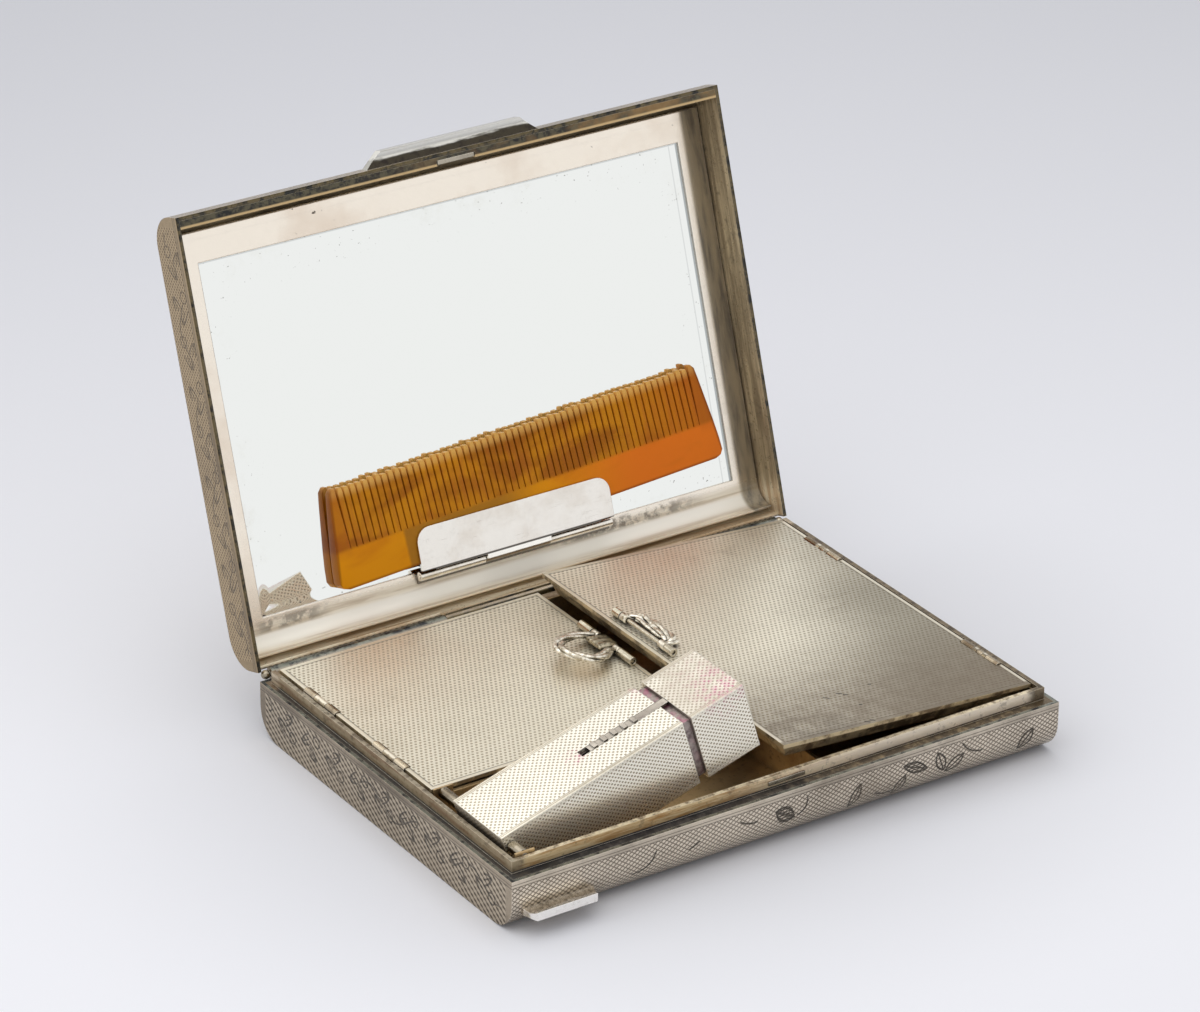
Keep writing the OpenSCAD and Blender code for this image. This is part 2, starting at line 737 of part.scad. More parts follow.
// Thumb slide in the body's slot, ribbed, with a stem down to the lipstick's cup
slide_x0 = holder_l - slot_l + cap_gap;
slide_x1 = holder_l + cap_gap - slide_gap;
cup_r = bullet_r + 0.5;
cup_x0 = slide_x0 + 0.6;

module holder_slider() {
    ribs = 5;
    rib_w = 0.9;
    half = slot_w / 2 - fit_gap;
    stem_x = slide_x0 + 1.2;
    color("silver") with_holder() union() {
        block([holder_x0 + slide_x0, holder_mid_y - half, holder_z - holder_t],
              [holder_x0 + slide_x1, holder_mid_y + half, holder_z]);
        for (i = [0 : ribs - 1])
            block([holder_x0 + slide_x0 + 0.8 + i * 2.2, holder_mid_y - half, holder_z - tiny],
                  [holder_x0 + slide_x0 + 0.8 + i * 2.2 + rib_w, holder_mid_y + half,
                   holder_z + 0.3]);
        block([holder_x0 + stem_x, holder_mid_y - stem_w / 2, holder_mid_z + cup_r],
              [holder_x0 + stem_x + 2, holder_mid_y + stem_w / 2, holder_z - holder_t + tiny]);
    }
}

module lipstick_cup() {
    guide_t = 1;
    inside = inner_inset + inner_t + slide_gap;
    color("goldenrod") with_holder() difference() {
        union() {
            bar_x(holder_x0 + cup_x0, holder_x0 + cup_x0 + cup_l, holder_mid_y, holder_mid_z, cup_r);
            holder_block(cup_x0 + cup_l - guide_t, cup_x0 + cup_l, inside);
        }
        bar_x(holder_x0 + cup_x0 + 1, holder_x0 + cup_x0 + cup_l + 1, holder_mid_y, holder_mid_z,
              bullet_r + slide_gap);
    }
}

// The lipstick, its tip cut on the slant
module lipstick() {
    length = inner_x1 - cup_x0 - 1;
    color("deeppink") with_holder() difference() {
        bar_x(holder_x0 + cup_x0 + 1, holder_x0 + cup_x0 + 1 + length, holder_mid_y,
              holder_mid_z, bullet_r);
        translate([holder_x0 + cup_x0 + 1 + length, 0, holder_mid_z - bullet_r])
            rotate([0, -40, 0]) block([0, -case_d, -case_d], [case_w, case_d, case_d]);
    }
}

module holder_cap() {
    cap_x0 = holder_l + cap_gap;
    color("gainsboro") with_holder() difference() {
        holder_block(cap_x0, cap_x0 + cap_l, 0);
        holder_block(cap_x0 - 1, cap_x0 + cap_l - holder_t, holder_t);
    }
}

// Turns the base's cross-section over for the outer lid
module lid_solid(x0, x1, inset, depth) {
    translate([0, 0, lid_top]) mirror([0, 0, 1]) d_solid(x0, x1, inset, depth);
}

module lid_shell() {
    mid = hinge_middle / 2;
    web_top = hinge_z + hinge_r + 0.2;
    color("silver") with_outer_lid() difference() {
        union() {
            difference() {
                lid_solid(-case_w / 2, case_w / 2, 0, lid_h);
                lid_solid(-case_w / 2 + wall, case_w / 2 - wall, wall, lid_h + tiny);
                // room for the base's two hinge tubes
                for (side = [0, 1]) mirror([side, 0, 0])
                    block([mid - tiny, case_d / 2 - wall - tiny, lid_z - 1],
                          [case_w / 2 - wall, case_d / 2 + 1, web_top]);
            }
            hinge_tube(-mid, mid, hinge_z, web_top);
        }
        bar_x(-case_w, case_w, hinge_y, hinge_z, hinge_pin_r + pin_clear);
    }
}

module lid_front_rim() {
    color("dimgray") with_outer_lid() difference() {
        block([-case_w / 2 + wall, -case_d / 2 + wall, lid_z],
              [case_w / 2 - wall, -rim_out_y - 0.15, lid_z + ledge_t]);
        block([-catch_w / 2 - 0.2, -rim_out_y - 1.2, lid_z - 1],
              [catch_w / 2 + 0.2, -rim_out_y, lid_z + 3]);
    }
}

// The lid's half of the snap catch, set in the front rim's notch
module lid_catch() {
    color("silver") with_outer_lid()
        block([-catch_w / 2, -rim_out_y - 1.2, lid_z],
              [catch_w / 2, -rim_out_y - 0.4, lid_z + 2.2]);
}

module lid_thumbpiece() {
    color("white") with_outer_lid() difference() {
        translate([0, 0, thumb_z]) linear_extrude(thumb_t) polygon([
            [-thumb_l / 2, -case_d / 2], [thumb_l / 2, -case_d / 2],
            [thumb_l / 2 - thumb_taper, -case_d / 2 - thumb_out],
            [-thumb_l / 2 + thumb_taper, -case_d / 2 - thumb_out]]);
        bar_x(-case_w, case_w, -case_d / 2 - thumb_out / 2, thumb_z - scoop_r + 0.4, scoop_r);
    }
}

// The mirror's frame: a flat sheet that follows the shell round at the hinge side
module mirror_frame() {
    half = case_w / 2 - wall - frame_gap;
    curve = lid_top - frame_z;              // how far in the sheet's face lies
    stop_y = case_d / 2 - edge_r;
    color("white") with_outer_lid() difference() {
        intersection() {
            difference() {
                lid_solid(-half, half, curve - frame_t, lid_h);
                lid_solid(-case_w, case_w, curve, lid_h + tiny);
            }
            // from the front wall to the end of the curve
            block([-case_w, -case_d / 2 + curve - tiny, plate_top + 1], [case_w, case_d, lid_top]);
        }
        block([-window_w / 2, window_y0, 0], [window_w / 2, window_y1, lid_top]);
        block([-case_w, -case_d, 0], [case_w, -stop_y, frame_z - tiny]);
    }
}

module mirror_plate(z, t) {
    block([-window_w / 2 - glass_lap, window_y0 - glass_lap, z],
          [window_w / 2 + glass_lap, window_y1 + glass_lap, z + t]);
}

module mirror_glass() { color("lightblue") with_outer_lid() mirror_plate(glass_z, glass_t); }

module mirror_backing() {
    color("gray") with_outer_lid() mirror_plate(glass_z + glass_t, backing_t);
}

// Fixed leaf of the comb's clip, with the two outer tubes
module clip_leaf() {
    color("silver") with_outer_lid() difference() {
        union() {
            for (end = [-1, 1]) {
                x_mid = clip_x + end * clip_middle;
                bar_x(x_mid - clip_middle / 2 + knuckle_gap / 2, x_mid + clip_middle / 2
                      - knuckle_gap / 2, clip_axis_y, clip_axis_z, clip_r);
                block([x_mid - clip_middle / 2 + knuckle_gap / 2, clip_axis_y, clip_axis_z],
                      [x_mid + clip_middle / 2 - knuckle_gap / 2, clip_axis_y + clip_r,
                       frame_z - leaf_t + tiny]);
            }
            block([clip_x - clip_l / 2, clip_axis_y - 0.3, frame_z - leaf_t],
                  [clip_x + clip_l / 2, clip_axis_y + clip_r + 0.6, frame_z]);
        }
        bar_x(-case_w, case_w, clip_axis_y, clip_axis_z, clip_pin_r + pin_clear);
    }
}

module clip_pin() {
    color("gray") with_outer_lid()
        bar_x(clip_x - clip_l / 2, clip_x + clip_l / 2, clip_axis_y, clip_axis_z, clip_pin_r);
}

// Hinged plate of the clip: rounded corners, rolled up from its middle tube
module clip_plate() {
    half = clip_middle / 2 - knuckle_gap / 2;
    web_z = clip_axis_z - clip_r;
    tip_y = clip_axis_y - clip_reach;
    root_y = clip_axis_y - clip_r - 0.2;
    color("white") with_outer_lid() difference() {
        union() {
            bar_x(clip_x - half, clip_x + half, clip_axis_y, clip_axis_z, clip_r);
            block([clip_x - half, root_y, clip_plate_z], [clip_x + half, clip_axis_y, clip_axis_z]);
            translate([clip_x, 0, clip_plate_z]) linear_extrude(clip_t) {
                for (end = [-1, 1])
                    translate([end * (clip_l / 2 - clip_corner_r), tip_y + clip_corner_r])
                        circle(clip_corner_r);
                translate([-clip_l / 2 + clip_corner_r, tip_y])
                    square([clip_l - 2 * clip_corner_r, clip_reach - clip_r]);
                translate([-clip_l / 2, tip_y + clip_corner_r])
                    square([clip_l, root_y - tip_y - clip_corner_r]);
            }
        }
        bar_x(-case_w, case_w, clip_axis_y, clip_axis_z, clip_pin_r + pin_clear);
    }
}

// The comb: a slab with its ends drawn in, and slots cut between its teeth
module comb() {
    pitch = (comb_l - 2 * comb_end_taper - 2 * tooth_margin) / comb_teeth;
    gap = pitch * tooth_gap_share;
    color("orange") with_outer_lid()
        translate([comb_x, comb_back_y, comb_z]) rotate([0, 0, -comb_turn])
            linear_extrude(comb_t) difference() {
                polygon([[-comb_l / 2, 0], [comb_l / 2, 0],
                         [comb_l / 2 - comb_end_taper, -comb_h],
                         [-comb_l / 2 + comb_end_taper, -comb_h]]);
                for (i = [0 : comb_teeth])
                    translate([-comb_l / 2 + comb_end_taper + tooth_margin + i * pitch - gap / 2,
                               -comb_h - 1])
                        square([gap, comb_h - comb_spine + 1]);
            }
}

base_shell();
base_rim();
base_catch();
base_tab();
left_well();
right_well();
lipstick_well();
main_hinge_pin();
left_hinge_tubes();
right_hinge_tubes();
left_hinge_pins();
right_hinge_pins();
right_lift_leaves();
left_inner_lid();
right_inner_lid();
left_pull_tubes();
right_pull_tubes();
left_pull_pin();
left_pull_root();
right_pull_pin();
left_pull_loop();
right_pull_bail();
holder_pivot_pin();
pivot_sleeves();
holder_body();
holder_inner_tube();
holder_slider();
lipstick_cup();
lipstick();
holder_cap();
lid_shell();
lid_front_rim();
lid_catch();
lid_thumbpiece();
mirror_frame();
mirror_glass();
mirror_backing();
clip_leaf();
clip_pin();
clip_plate();
comb();
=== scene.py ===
# Looks of the vanity case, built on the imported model. The shaders and the added shapes are
# worked out in millimetres. The floor, the lamp and the camera are in metres.
import math
import random

import bmesh
import bpy
from mathutils import Matrix, Vector


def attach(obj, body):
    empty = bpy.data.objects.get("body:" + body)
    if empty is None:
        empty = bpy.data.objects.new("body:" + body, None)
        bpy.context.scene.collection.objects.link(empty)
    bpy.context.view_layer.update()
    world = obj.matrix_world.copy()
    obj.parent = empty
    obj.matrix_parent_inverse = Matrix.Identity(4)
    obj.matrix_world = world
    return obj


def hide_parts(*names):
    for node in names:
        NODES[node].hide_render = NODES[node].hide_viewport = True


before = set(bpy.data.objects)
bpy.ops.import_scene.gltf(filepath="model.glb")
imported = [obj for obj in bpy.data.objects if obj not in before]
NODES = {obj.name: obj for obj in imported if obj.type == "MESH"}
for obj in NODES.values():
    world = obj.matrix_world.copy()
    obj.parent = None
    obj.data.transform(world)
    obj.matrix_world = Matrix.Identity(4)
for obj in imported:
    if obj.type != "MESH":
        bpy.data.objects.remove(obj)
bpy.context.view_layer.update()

# The pins of the pulls, the tops of the inner lids, and the middle and tilt of the comb's back edge
PIN_Z, LEFT_PIN_X, RIGHT_PIN_X = 14.35, -1.1, 3.0
LID_TOP = 13.4
COMB_X, COMB_Y, COMB_TILT = 6.8, 31.5, math.radians(3.2)

# The turns that lay the tilted pieces flat: a point on the hinge, its axis and the angle
TURNS = {
    "lid": ((0, 43.9, 11.4), "X", math.radians(108)),
    "right": ((56.5, 0, 13.0), "Y", math.radians(-4)),
    "holder": ((-55.0, 0, 12.8), "Y", math.radians(17)),
    "loop": ((LEFT_PIN_X, 0, PIN_Z), "Y", math.radians(-14)),
}
AXES = {"X": (1, 0, 0), "Y": (0, 1, 0)}

# The shells' long edges are rounded by ROUND, from ROUND_Y outwards
ROUND, ROUND_Y = 6.0, 37.1

# Comb: length, height from the back edge to the tips, height of the spine, width of the guards,
# taper of both ends, thickness, and the radius at the back edge's ends
L, H, SPINE, MARGIN, TAPER, THICK, CORNER = 89.0, 19.4, 7.4, 4.2, 2.6, 2.6, 2.2
TEETH = 57
PITCH = (L - 2 * MARGIN) / TEETH
HALF_TOOTH = PITCH * 0.41
Z_MID = (15.65 + 18.25) / 2

# Dark tarnish and the lipstick's stains
DARK = (46, 42, 38)
PINK = (196, 92, 140)


def linear(c):
    """Linear value of a display value from 0 to 255."""
    return c / 255 / 12.92 if c <= 10 else ((c / 255 + 0.055) / 1.055) ** 2.4


class Nodes:
    """The nodes of a material or of the world."""

    def __init__(self, owner):
        owner.use_nodes = True
        self.tree = owner.node_tree
        self.tree.nodes.clear()

    def node(self, kind, inputs=None, **settings):
        """Outputs of a new node, with its settings made and its inputs linked or set."""
        n = self.tree.nodes.new("ShaderNode" + kind)
        for name, value in settings.items():
            setattr(n, name, value)
        for key, value in (inputs or {}).items():
            if value is not None:
                self.put(n.inputs[key], value)
        return n.outputs

    def put(self, socket, value):
        """Link or set a socket. A colour in whole numbers is as displayed, 0-255, else linear."""
        if isinstance(value, bpy.types.NodeSocket):
            self.tree.links.new(value, socket)
        elif socket.type == "RGBA":
            whole = all(isinstance(c, int) for c in value)
            socket.default_value = (*(linear(c) if whole else c for c in value), 1)
        else:
            socket.default_value = value


class Material(Nodes):
    """A material, with short names for the nodes that it is made of."""

    def __init__(self, name, turn=None):
        self.mat = bpy.data.materials.new(name)
        super().__init__(self.mat)
        coordinates = self.node("TexCoord")
        self.p = self.vec("SCALE", coordinates["Object"], scale=1000)
        self.n = coordinates["Normal"]
        if turn:
            centre, axis, angle = TURNS[turn]
            self.p = self.rotate(self.p, centre, AXES[axis], angle)
            self.n = self.rotate(self.n, (0, 0, 0), AXES[axis], angle)
        self.x, self.y, self.z = self.split(self.p)
        self.nx, self.ny, self.nz = (self.mag(c) for c in self.split(self.n))
        self.colour = None

    def math(self, op, a, b=None, c=None, clamp=False):
        return self.node("Math", {0: a, 1: b, 2: c}, operation=op, use_clamp=clamp)[0]

    def add(self, *v):
        total = v[0]
        for other in v[1:]:
            total = self.math("ADD", total, other)
        return total

    def mul(self, *v):
        total = v[0]
        for other in v[1:]:
            total = self.math("MULTIPLY", total, other)
        return total

    def sub(self, a, b):
        return self.math("SUBTRACT", a, b)

    def mag(self, a):
        return self.math("ABSOLUTE", a)

    def low(self, a, b):
        return self.math("MINIMUM", a, b)

    def high(self, a, b):
        return self.math("MAXIMUM", a, b)

    def flip(self, a):
        return self.math("SUBTRACT", 1.0, a, clamp=True)

    def vec(self, op, a, b=None, scale=None):
        out = self.node("VectorMath", {0: a, 1: b, "Scale": scale}, operation=op)
        return out["Value"] if op in ("LENGTH", "DOT_PRODUCT", "DISTANCE") else out[0]

    def rotate(self, v, centre, axis, angle):
        return self.node("VectorRotate", {"Vector": v, "Center": centre, "Axis": axis,
                                          "Angle": angle}, rotation_type="AXIS_ANGLE")[0]

    def split(self, v):
        return tuple(self.node("SeparateXYZ", {0: v}))

    def join(self, x, y, z):
        return self.node("CombineXYZ", {0: x, 1: y, 2: z})[0]

    def step(self, a, start, end):
        """0 below start, 1 above end (either way round), smooth between."""
        return self.node("MapRange", {0: a, 1: start, 2: end, 3: 0.0, 4: 1.0},
                         interpolation_type="SMOOTHSTEP")[0]

    def band(self, a, middle, width):
        """1 near middle, 0 farther off than width."""
        return self.step(self.mag(self.sub(a, middle)), width, width * 0.4)

    def noise(self, scale, detail=4.0, rough=0.6, vector=None, distortion=0.0):
        return self.node("TexNoise", {
            "Vector": self.p if vector is None else vector, "Scale": scale, "Detail": detail,
            "Roughness": rough, "Distortion": distortion})["Fac"]

    def streaks(self, sx, sy, sz, detail=4.0, rough=0.6):
        """Noise drawn out by its own scale along each of x, y and z."""
        return self.noise(1.0, detail, rough, self.vec("MULTIPLY", self.p, (sx, sy, sz)))

    def mix(self, fac, a, b):
        return self.node("Mix", {"Factor": fac, 6: a, 7: b}, data_type="RGBA")[2]

    def lay(self, tint, *masks):
        """Lay a tint over the colour so far, by the product of the masks."""
        self.colour = self.mix(self.mul(*masks), self.colour, tint)

    def wave(self, gu, gv, u, v):
        """Cosine of a line lattice with gu and gv lines to the millimetre."""
        total = self.add(self.mul(u, 2 * math.pi * gu), self.mul(v, 2 * math.pi * gv))
        return self.math("COSINE", total)

    def ripple(self, a, pitch):
        """Cosine that turns over at every multiple of pitch."""
        return self.math("COSINE", self.mul(a, math.pi / pitch))

    def oval(self, a, b, power=2.0):
        """Root of the sum of both magnitudes' powers: a radius, for a power of 2."""
        powers = [self.math("POWER", self.mag(v), power) for v in (a, b)]
        return self.math("SQRT", self.add(*powers))

    def edge(self, centre, half):
        """Distance to the nearest edge of the box's face that the point lies on."""
        best = None
        for p, n, c, h in zip((self.x, self.y, self.z), (self.nx, self.ny, self.nz), centre, half):
            d = self.sub(h, self.mag(self.sub(p, c)))
            d = self.add(d, self.mul(self.step(n, 0.5, 0.8), 200.0))     # not across the face
            best = d if best is None else self.low(best, d)
        return best

    def hollows(self, distance, start, end, amount, samples=4):
        """Up to amount in corners, from the share of open sides within distance."""
        out = self.node("AmbientOcclusion", {"Distance": distance / 1000}, samples=samples)
        return self.mul(self.step(out["AO"], start, end), amount)

    def soft(self, radius):
        """Normal rounded over the sharp edges."""
        return self.node("Bevel", {"Radius": radius / 1000}, samples=4)[0]

    def worn(self, soft):
        """1 on sharp edges, from how far the softened normal turns."""
        normal = self.node("NewGeometry")["Normal"]
        return self.step(self.vec("DOT_PRODUCT", soft, normal), 0.995, 0.85)

    def bump(self, height, distance, strength=0.5, normal=None):
        return self.node("Bump", {"Strength": strength, "Distance": distance / 1000,
                                  "Height": height, "Normal": normal})[0]

    def finish(self, rough, metallic=1.0, normal=None, **more):
        """Make the surface from the colour laid so far and return the material."""
        more = {name.replace("_", " "): value for name, value in more.items()}
        bsdf = self.node("BsdfPrincipled", {
            "Base Color": self.colour, "Roughness": rough, "Metallic": metallic,
            "Normal": normal, **more})
        self.node("OutputMaterial", {0: bsdf[0]})
        return self.mat


def scratches(m, amount=1.0):
    """Fine hairlines that cross in two directions."""
    a = m.streaks(0.25, 6.0, 6.0, 2.0, 0.5)
    b = m.streaks(5.0, 0.3, 4.0, 2.0, 0.5)
    return m.mul(m.high(m.step(a, 0.66, 0.72), m.step(b, 0.68, 0.74)), amount)


def vine(m, u, v, period, swing):
    """Engraved scrolling stem with leaves on alternate sides, centred on v = 0."""
    k = 2 * math.pi / period
    wave = m.math("SINE", m.mul(u, k))
    line = m.mul(m.step(m.mag(m.sub(v, m.mul(wave, swing))), 0.3, 0.12),
                 m.step(m.noise(0.16, 2.0, 0.55), 0.44, 0.5))
    half = period / 2
    cell = m.math("FLOORED_MODULO", m.add(u, period / 4), half)
    lu = m.sub(cell, half / 2)
    side = m.math("SIGN", wave)
    lv = m.add(v, m.mul(side, swing * 0.55))
    tilt_u = m.add(m.mul(lu, 0.86), m.mul(lv, side, 0.5))
    tilt_v = m.sub(m.mul(lv, 0.86), m.mul(lu, side, 0.5))
    r = m.oval(m.mul(tilt_u, 1 / 2.6), m.mul(tilt_v, 1 / 1.05))
    rim = m.band(r, 1.0, 0.24)
    vein = m.mul(m.step(m.mag(tilt_v), 0.22, 0.08), m.step(r, 1.0, 0.9))
    ring = m.band(m.oval(m.add(lu, 2.6), m.sub(v, m.mul(side, swing * 0.8))), 1.1, 0.22)
    return m.high(m.high(line, rim), m.high(vein, ring))


def sprays(m, u, v, leaves, strokes):
    """Engraved leaves and thin bent strokes.

    A leaf is u, v, angle, length, width, darkness and a stroke is u, v, angle, length, bend."""
    total = None
    for u0, v0, angle, length, width, dark in leaves:
        ca, sa = math.cos(math.radians(angle)), math.sin(math.radians(angle))
        du, dv = m.sub(u, u0), m.sub(v, v0)
        tu = m.add(m.mul(du, ca / length), m.mul(dv, sa / length))
        tv = m.add(m.mul(dv, ca / width), m.mul(du, -sa / width))
        r = m.add(m.mul(tu, tu), m.mag(tv))
        mark = m.high(m.band(r, 1.0, 0.3),
                      m.mul(m.step(r, 1.0, 0.85), m.step(m.mag(tv), 0.25, 0.08)))
        if dark:
            hatch = m.step(m.math("COSINE", m.mul(m.add(tu, tv), 14.0)), -0.6, 0.4)
            mark = m.high(mark, m.mul(m.step(r, 1.05, 0.9), hatch, dark))
        total = mark if total is None else m.high(total, mark)
    for u0, v0, angle, length, bend in strokes:
        ca, sa = math.cos(math.radians(angle)), math.sin(math.radians(angle))
        du, dv = m.sub(u, u0), m.sub(v, v0)
        tu = m.add(m.mul(du, ca), m.mul(dv, sa))
        tv = m.add(m.mul(dv, ca), m.mul(du, -sa), m.mul(tu, tu, bend))
        mark = m.mul(m.step(m.mag(tv), 0.28, 0.1), m.step(m.mag(tu), length, length * 0.8))
        total = mark if total is None else m.high(total, mark)
    return total


def engine_turned(m, pattern, engraved, plain, base, deep, light, grime, soft):
    """Shared finish of the turned surfaces: pattern 0-1 (1 is cut), engraved lines, plain bands."""
    cut = m.mul(pattern, m.flip(plain))
    big = m.noise(0.045)
    fine = m.noise(0.9, 3.0, 0.6)
    m.colour = m.mix(m.step(big, 0.35, 0.7), base, m.mix(0.5, base, deep))
    m.lay(light, m.flip(cut), m.flip(plain), 0.75)
    m.lay(deep, cut, 0.8)
    m.lay(deep, m.step(fine, 0.5, 0.75), 0.25)
    m.lay(DARK, grime, 0.85)
    wear = m.worn(soft)
    m.lay(light, wear, 0.6)
    m.lay(DARK, engraved, 0.85)
    rough = m.add(m.mul(cut, 0.1), m.mul(fine, 0.14), m.mul(grime, 0.2), 0.22)
    height = m.add(m.mul(cut, -1.0), m.mul(engraved, -1.6), m.mul(fine, 0.1))
    return rough, m.bump(height, 0.06, 0.5, soft)


def holder_material(name, centre, half, stain_at, soil=0.0):
    """Silver holder or its cap: small dots in rows, plain edges with a fine double line."""
    m = Material(name, "holder")
    cx = m.ripple(m.x, 0.52)
    rows = m.add(m.mul(cx, m.ripple(m.y, 0.58), m.flip(m.ny)),
                 m.mul(cx, m.ripple(m.z, 0.44), m.flip(m.nz)))
    end = m.step(m.nx, 0.6, 0.9)
    rows = m.mix(end, rows, m.mul(m.ripple(m.y, 0.58), m.ripple(m.z, 0.44)))
    dots = m.step(rows, 0.1, 0.62)
    d = m.edge(centre, (half[0] + 40.0, half[1], half[2]))   # no plain edge at the two ends
    plain = m.step(d, 0.95, 0.75)
    lines = m.mul(m.high(m.band(d, 0.45, 0.12), m.band(d, 0.85, 0.14)), 0.5)
    grime = m.hollows(2.5, 0.75, 0.25, 0.9)
    soft = m.soft(0.3)
    rough, normal = engine_turned(
        m, dots, lines, plain, (244, 236, 217), (158, 146, 126), (255, 251, 240), grime, soft)
    if soil:
        spread = m.mul(m.step(m.noise(0.12), 0.2, 0.6), m.step(m.nz, 0.6, 0.9))
        m.lay((184, 172, 154), spread, soil)
    # Painted light: the front and back faces are lighter between the dots, with their dots darker
    side = m.step(m.ny, 0.6, 0.9)
    m.lay((255, 250, 234), side, m.flip(dots), 0.8)
    m.lay((136, 118, 88), side, dots, m.flip(plain), 0.45)
    for at, size, amount in stain_at:
        near = m.step(m.vec("DISTANCE", m.p, at), size, size * 0.25)
        spots = m.step(m.noise(0.7, 4.0, 0.65), 0.42, 0.62)
        held = m.add(m.mul(dots, 0.6), 0.25)
        m.lay(PINK, near, spots, held, amount)
    return m.finish(rough, 0.8, normal)


def inner_lid_material(name, turn, centre, half, left):
    """A fine slanting lattice inside a bright plain edge, and colour that grows darker to the
    right.
    """
    m = Material(name, turn)
    a = m.wave(0.0, 1 / 0.868, m.x, m.y)
    b = m.wave(1.047, -0.576, m.x, m.y)
    c = m.wave(1.047, 0.576, m.x, m.y)
    turned = m.step(m.add(a, b, m.mul(c, 0.6)), -0.1, 1.6)
    d = m.edge(centre, half)
    top = m.step(m.nz, 0.6, 0.9)
    plain = m.high(m.step(d, 0.95, 0.75), m.flip(top))
    lines = m.mul(m.band(d, 0.9, 0.16), top, 0.7)
    grime = m.hollows(2.0, 0.7, 0.2, 0.8)
    soft = m.soft(0.2)
    rough, normal = engine_turned(
        m, turned, lines, plain, (240, 232, 212), (166, 154, 130), (250, 244, 228), grime, soft)
    stain = m.noise(0.035, 3.0, 0.6)
    cloud = m.noise(0.11, 4.0, 0.65)
    if left:
        # Painted reflection of the comb, faint, near the back of the lid
        patch = m.mul(m.step(m.vec("DISTANCE", m.p, (-38.0, 34.0, LID_TOP)), 30.0, 8.0), 0.08)
        m.lay((206, 168, 132), patch, m.step(cloud, 0.3, 0.7))
        m.lay((136, 128, 104), m.step(m.x, -16.0, 2.0), 0.12)
        m.lay((166, 154, 126), m.step(stain, 0.55, 0.75), 0.25)
        # Painted reflection and shadow of the left pull's loop on the lid below it
        painted_loop_reflection = m.step(m.vec("DISTANCE", m.p, (-9.5, 10.8, LID_TOP)), 7.0, 1.0)
        m.lay((200, 174, 128), painted_loop_reflection, top, m.step(cloud, 0.2, 0.55), 0.5)
    else:
        # Darker towards the right and towards the front, varied by noise
        along = m.add(m.mul(m.x, 0.016), m.mul(m.y, -0.007), m.mul(stain, 0.35))
        m.lay((108, 100, 82), m.step(along, 0.5, 1.15), 0.75)
        m.lay((98, 78, 58), m.step(cloud, 0.58, 0.8), m.step(m.x, 15.0, 50.0), 0.4)
        # Painted reflection of the comb near the back of the lid
        painted_comb_reflection = m.mul(m.step(m.y, 22.0, 40.0), m.band(m.x, 36.0, 27.0), 0.16)
        m.lay((216, 176, 140), painted_comb_reflection, m.step(cloud, 0.3, 0.6))
        near = m.mul(m.step(m.y, -2.0, -34.0),
                     m.add(m.mul(m.step(m.noise(0.3, 4.0, 0.7), 0.35, 0.65), 0.2), 0.62))
        m.lay((116, 102, 84), near)
        edge_spot = m.step(m.vec("DISTANCE", m.p, (9.0, -38.3, 13.2)), 14.0, 3.0)
        m.lay(DARK, edge_spot, m.step(cloud, 0.35, 0.6), 0.25)
        nicks = sprays(m, m.x, m.y, [], [
            (18.9, -26.3, -40, 0.7, 0.0), (22.1, -25.8, -35, 0.65, 0.0),
            (22.9, -26.7, -30, 0.5, 0.0), (29.5, -25.2, -30, 0.35, 0.0),
            (23.1, -31.2, -30, 0.35, 0.0), (20.1, -37.4, -40, 0.6, 0.0),
            (21.3, -37.3, -40, 0.6, 0.0)])
        m.lay(DARK, nicks, top, 0.85)
    skirt = m.mix(m.step(m.noise(0.22, 4.0, 0.7), 0.42, 0.6), (206, 186, 146), (108, 88, 62))
    m.lay(skirt, m.flip(top), 0.8)
    bright = m.mul(m.step(d, 0.75, 0.5), top, 0.6)
    if not left:
        bright = m.mul(bright, m.step(m.y, -37.6, -36.6), m.step(m.y, 40.6, 39.8))
    m.lay((250, 242, 224), bright)
    return m.finish(m.add(rough, 0.12), 0.72, normal)


# Tints of the shells' silver, cuts and ridges, each along the walls and on the two sides,
# and the two tints of the worn lip
SHELL_TINTS = {
    None: [((212, 200, 182), (172, 158, 138)), ((84, 74, 62), (70, 60, 48)),
           ((234, 222, 204), (204, 190, 168)), ((128, 130, 120), (54, 56, 60))],
    "lid": [((202, 188, 168), (170, 149, 117)), ((84, 74, 62), (110, 92, 68)),
            ((216, 204, 186), (188, 166, 132)), ((104, 92, 66), (40, 40, 38))],
}


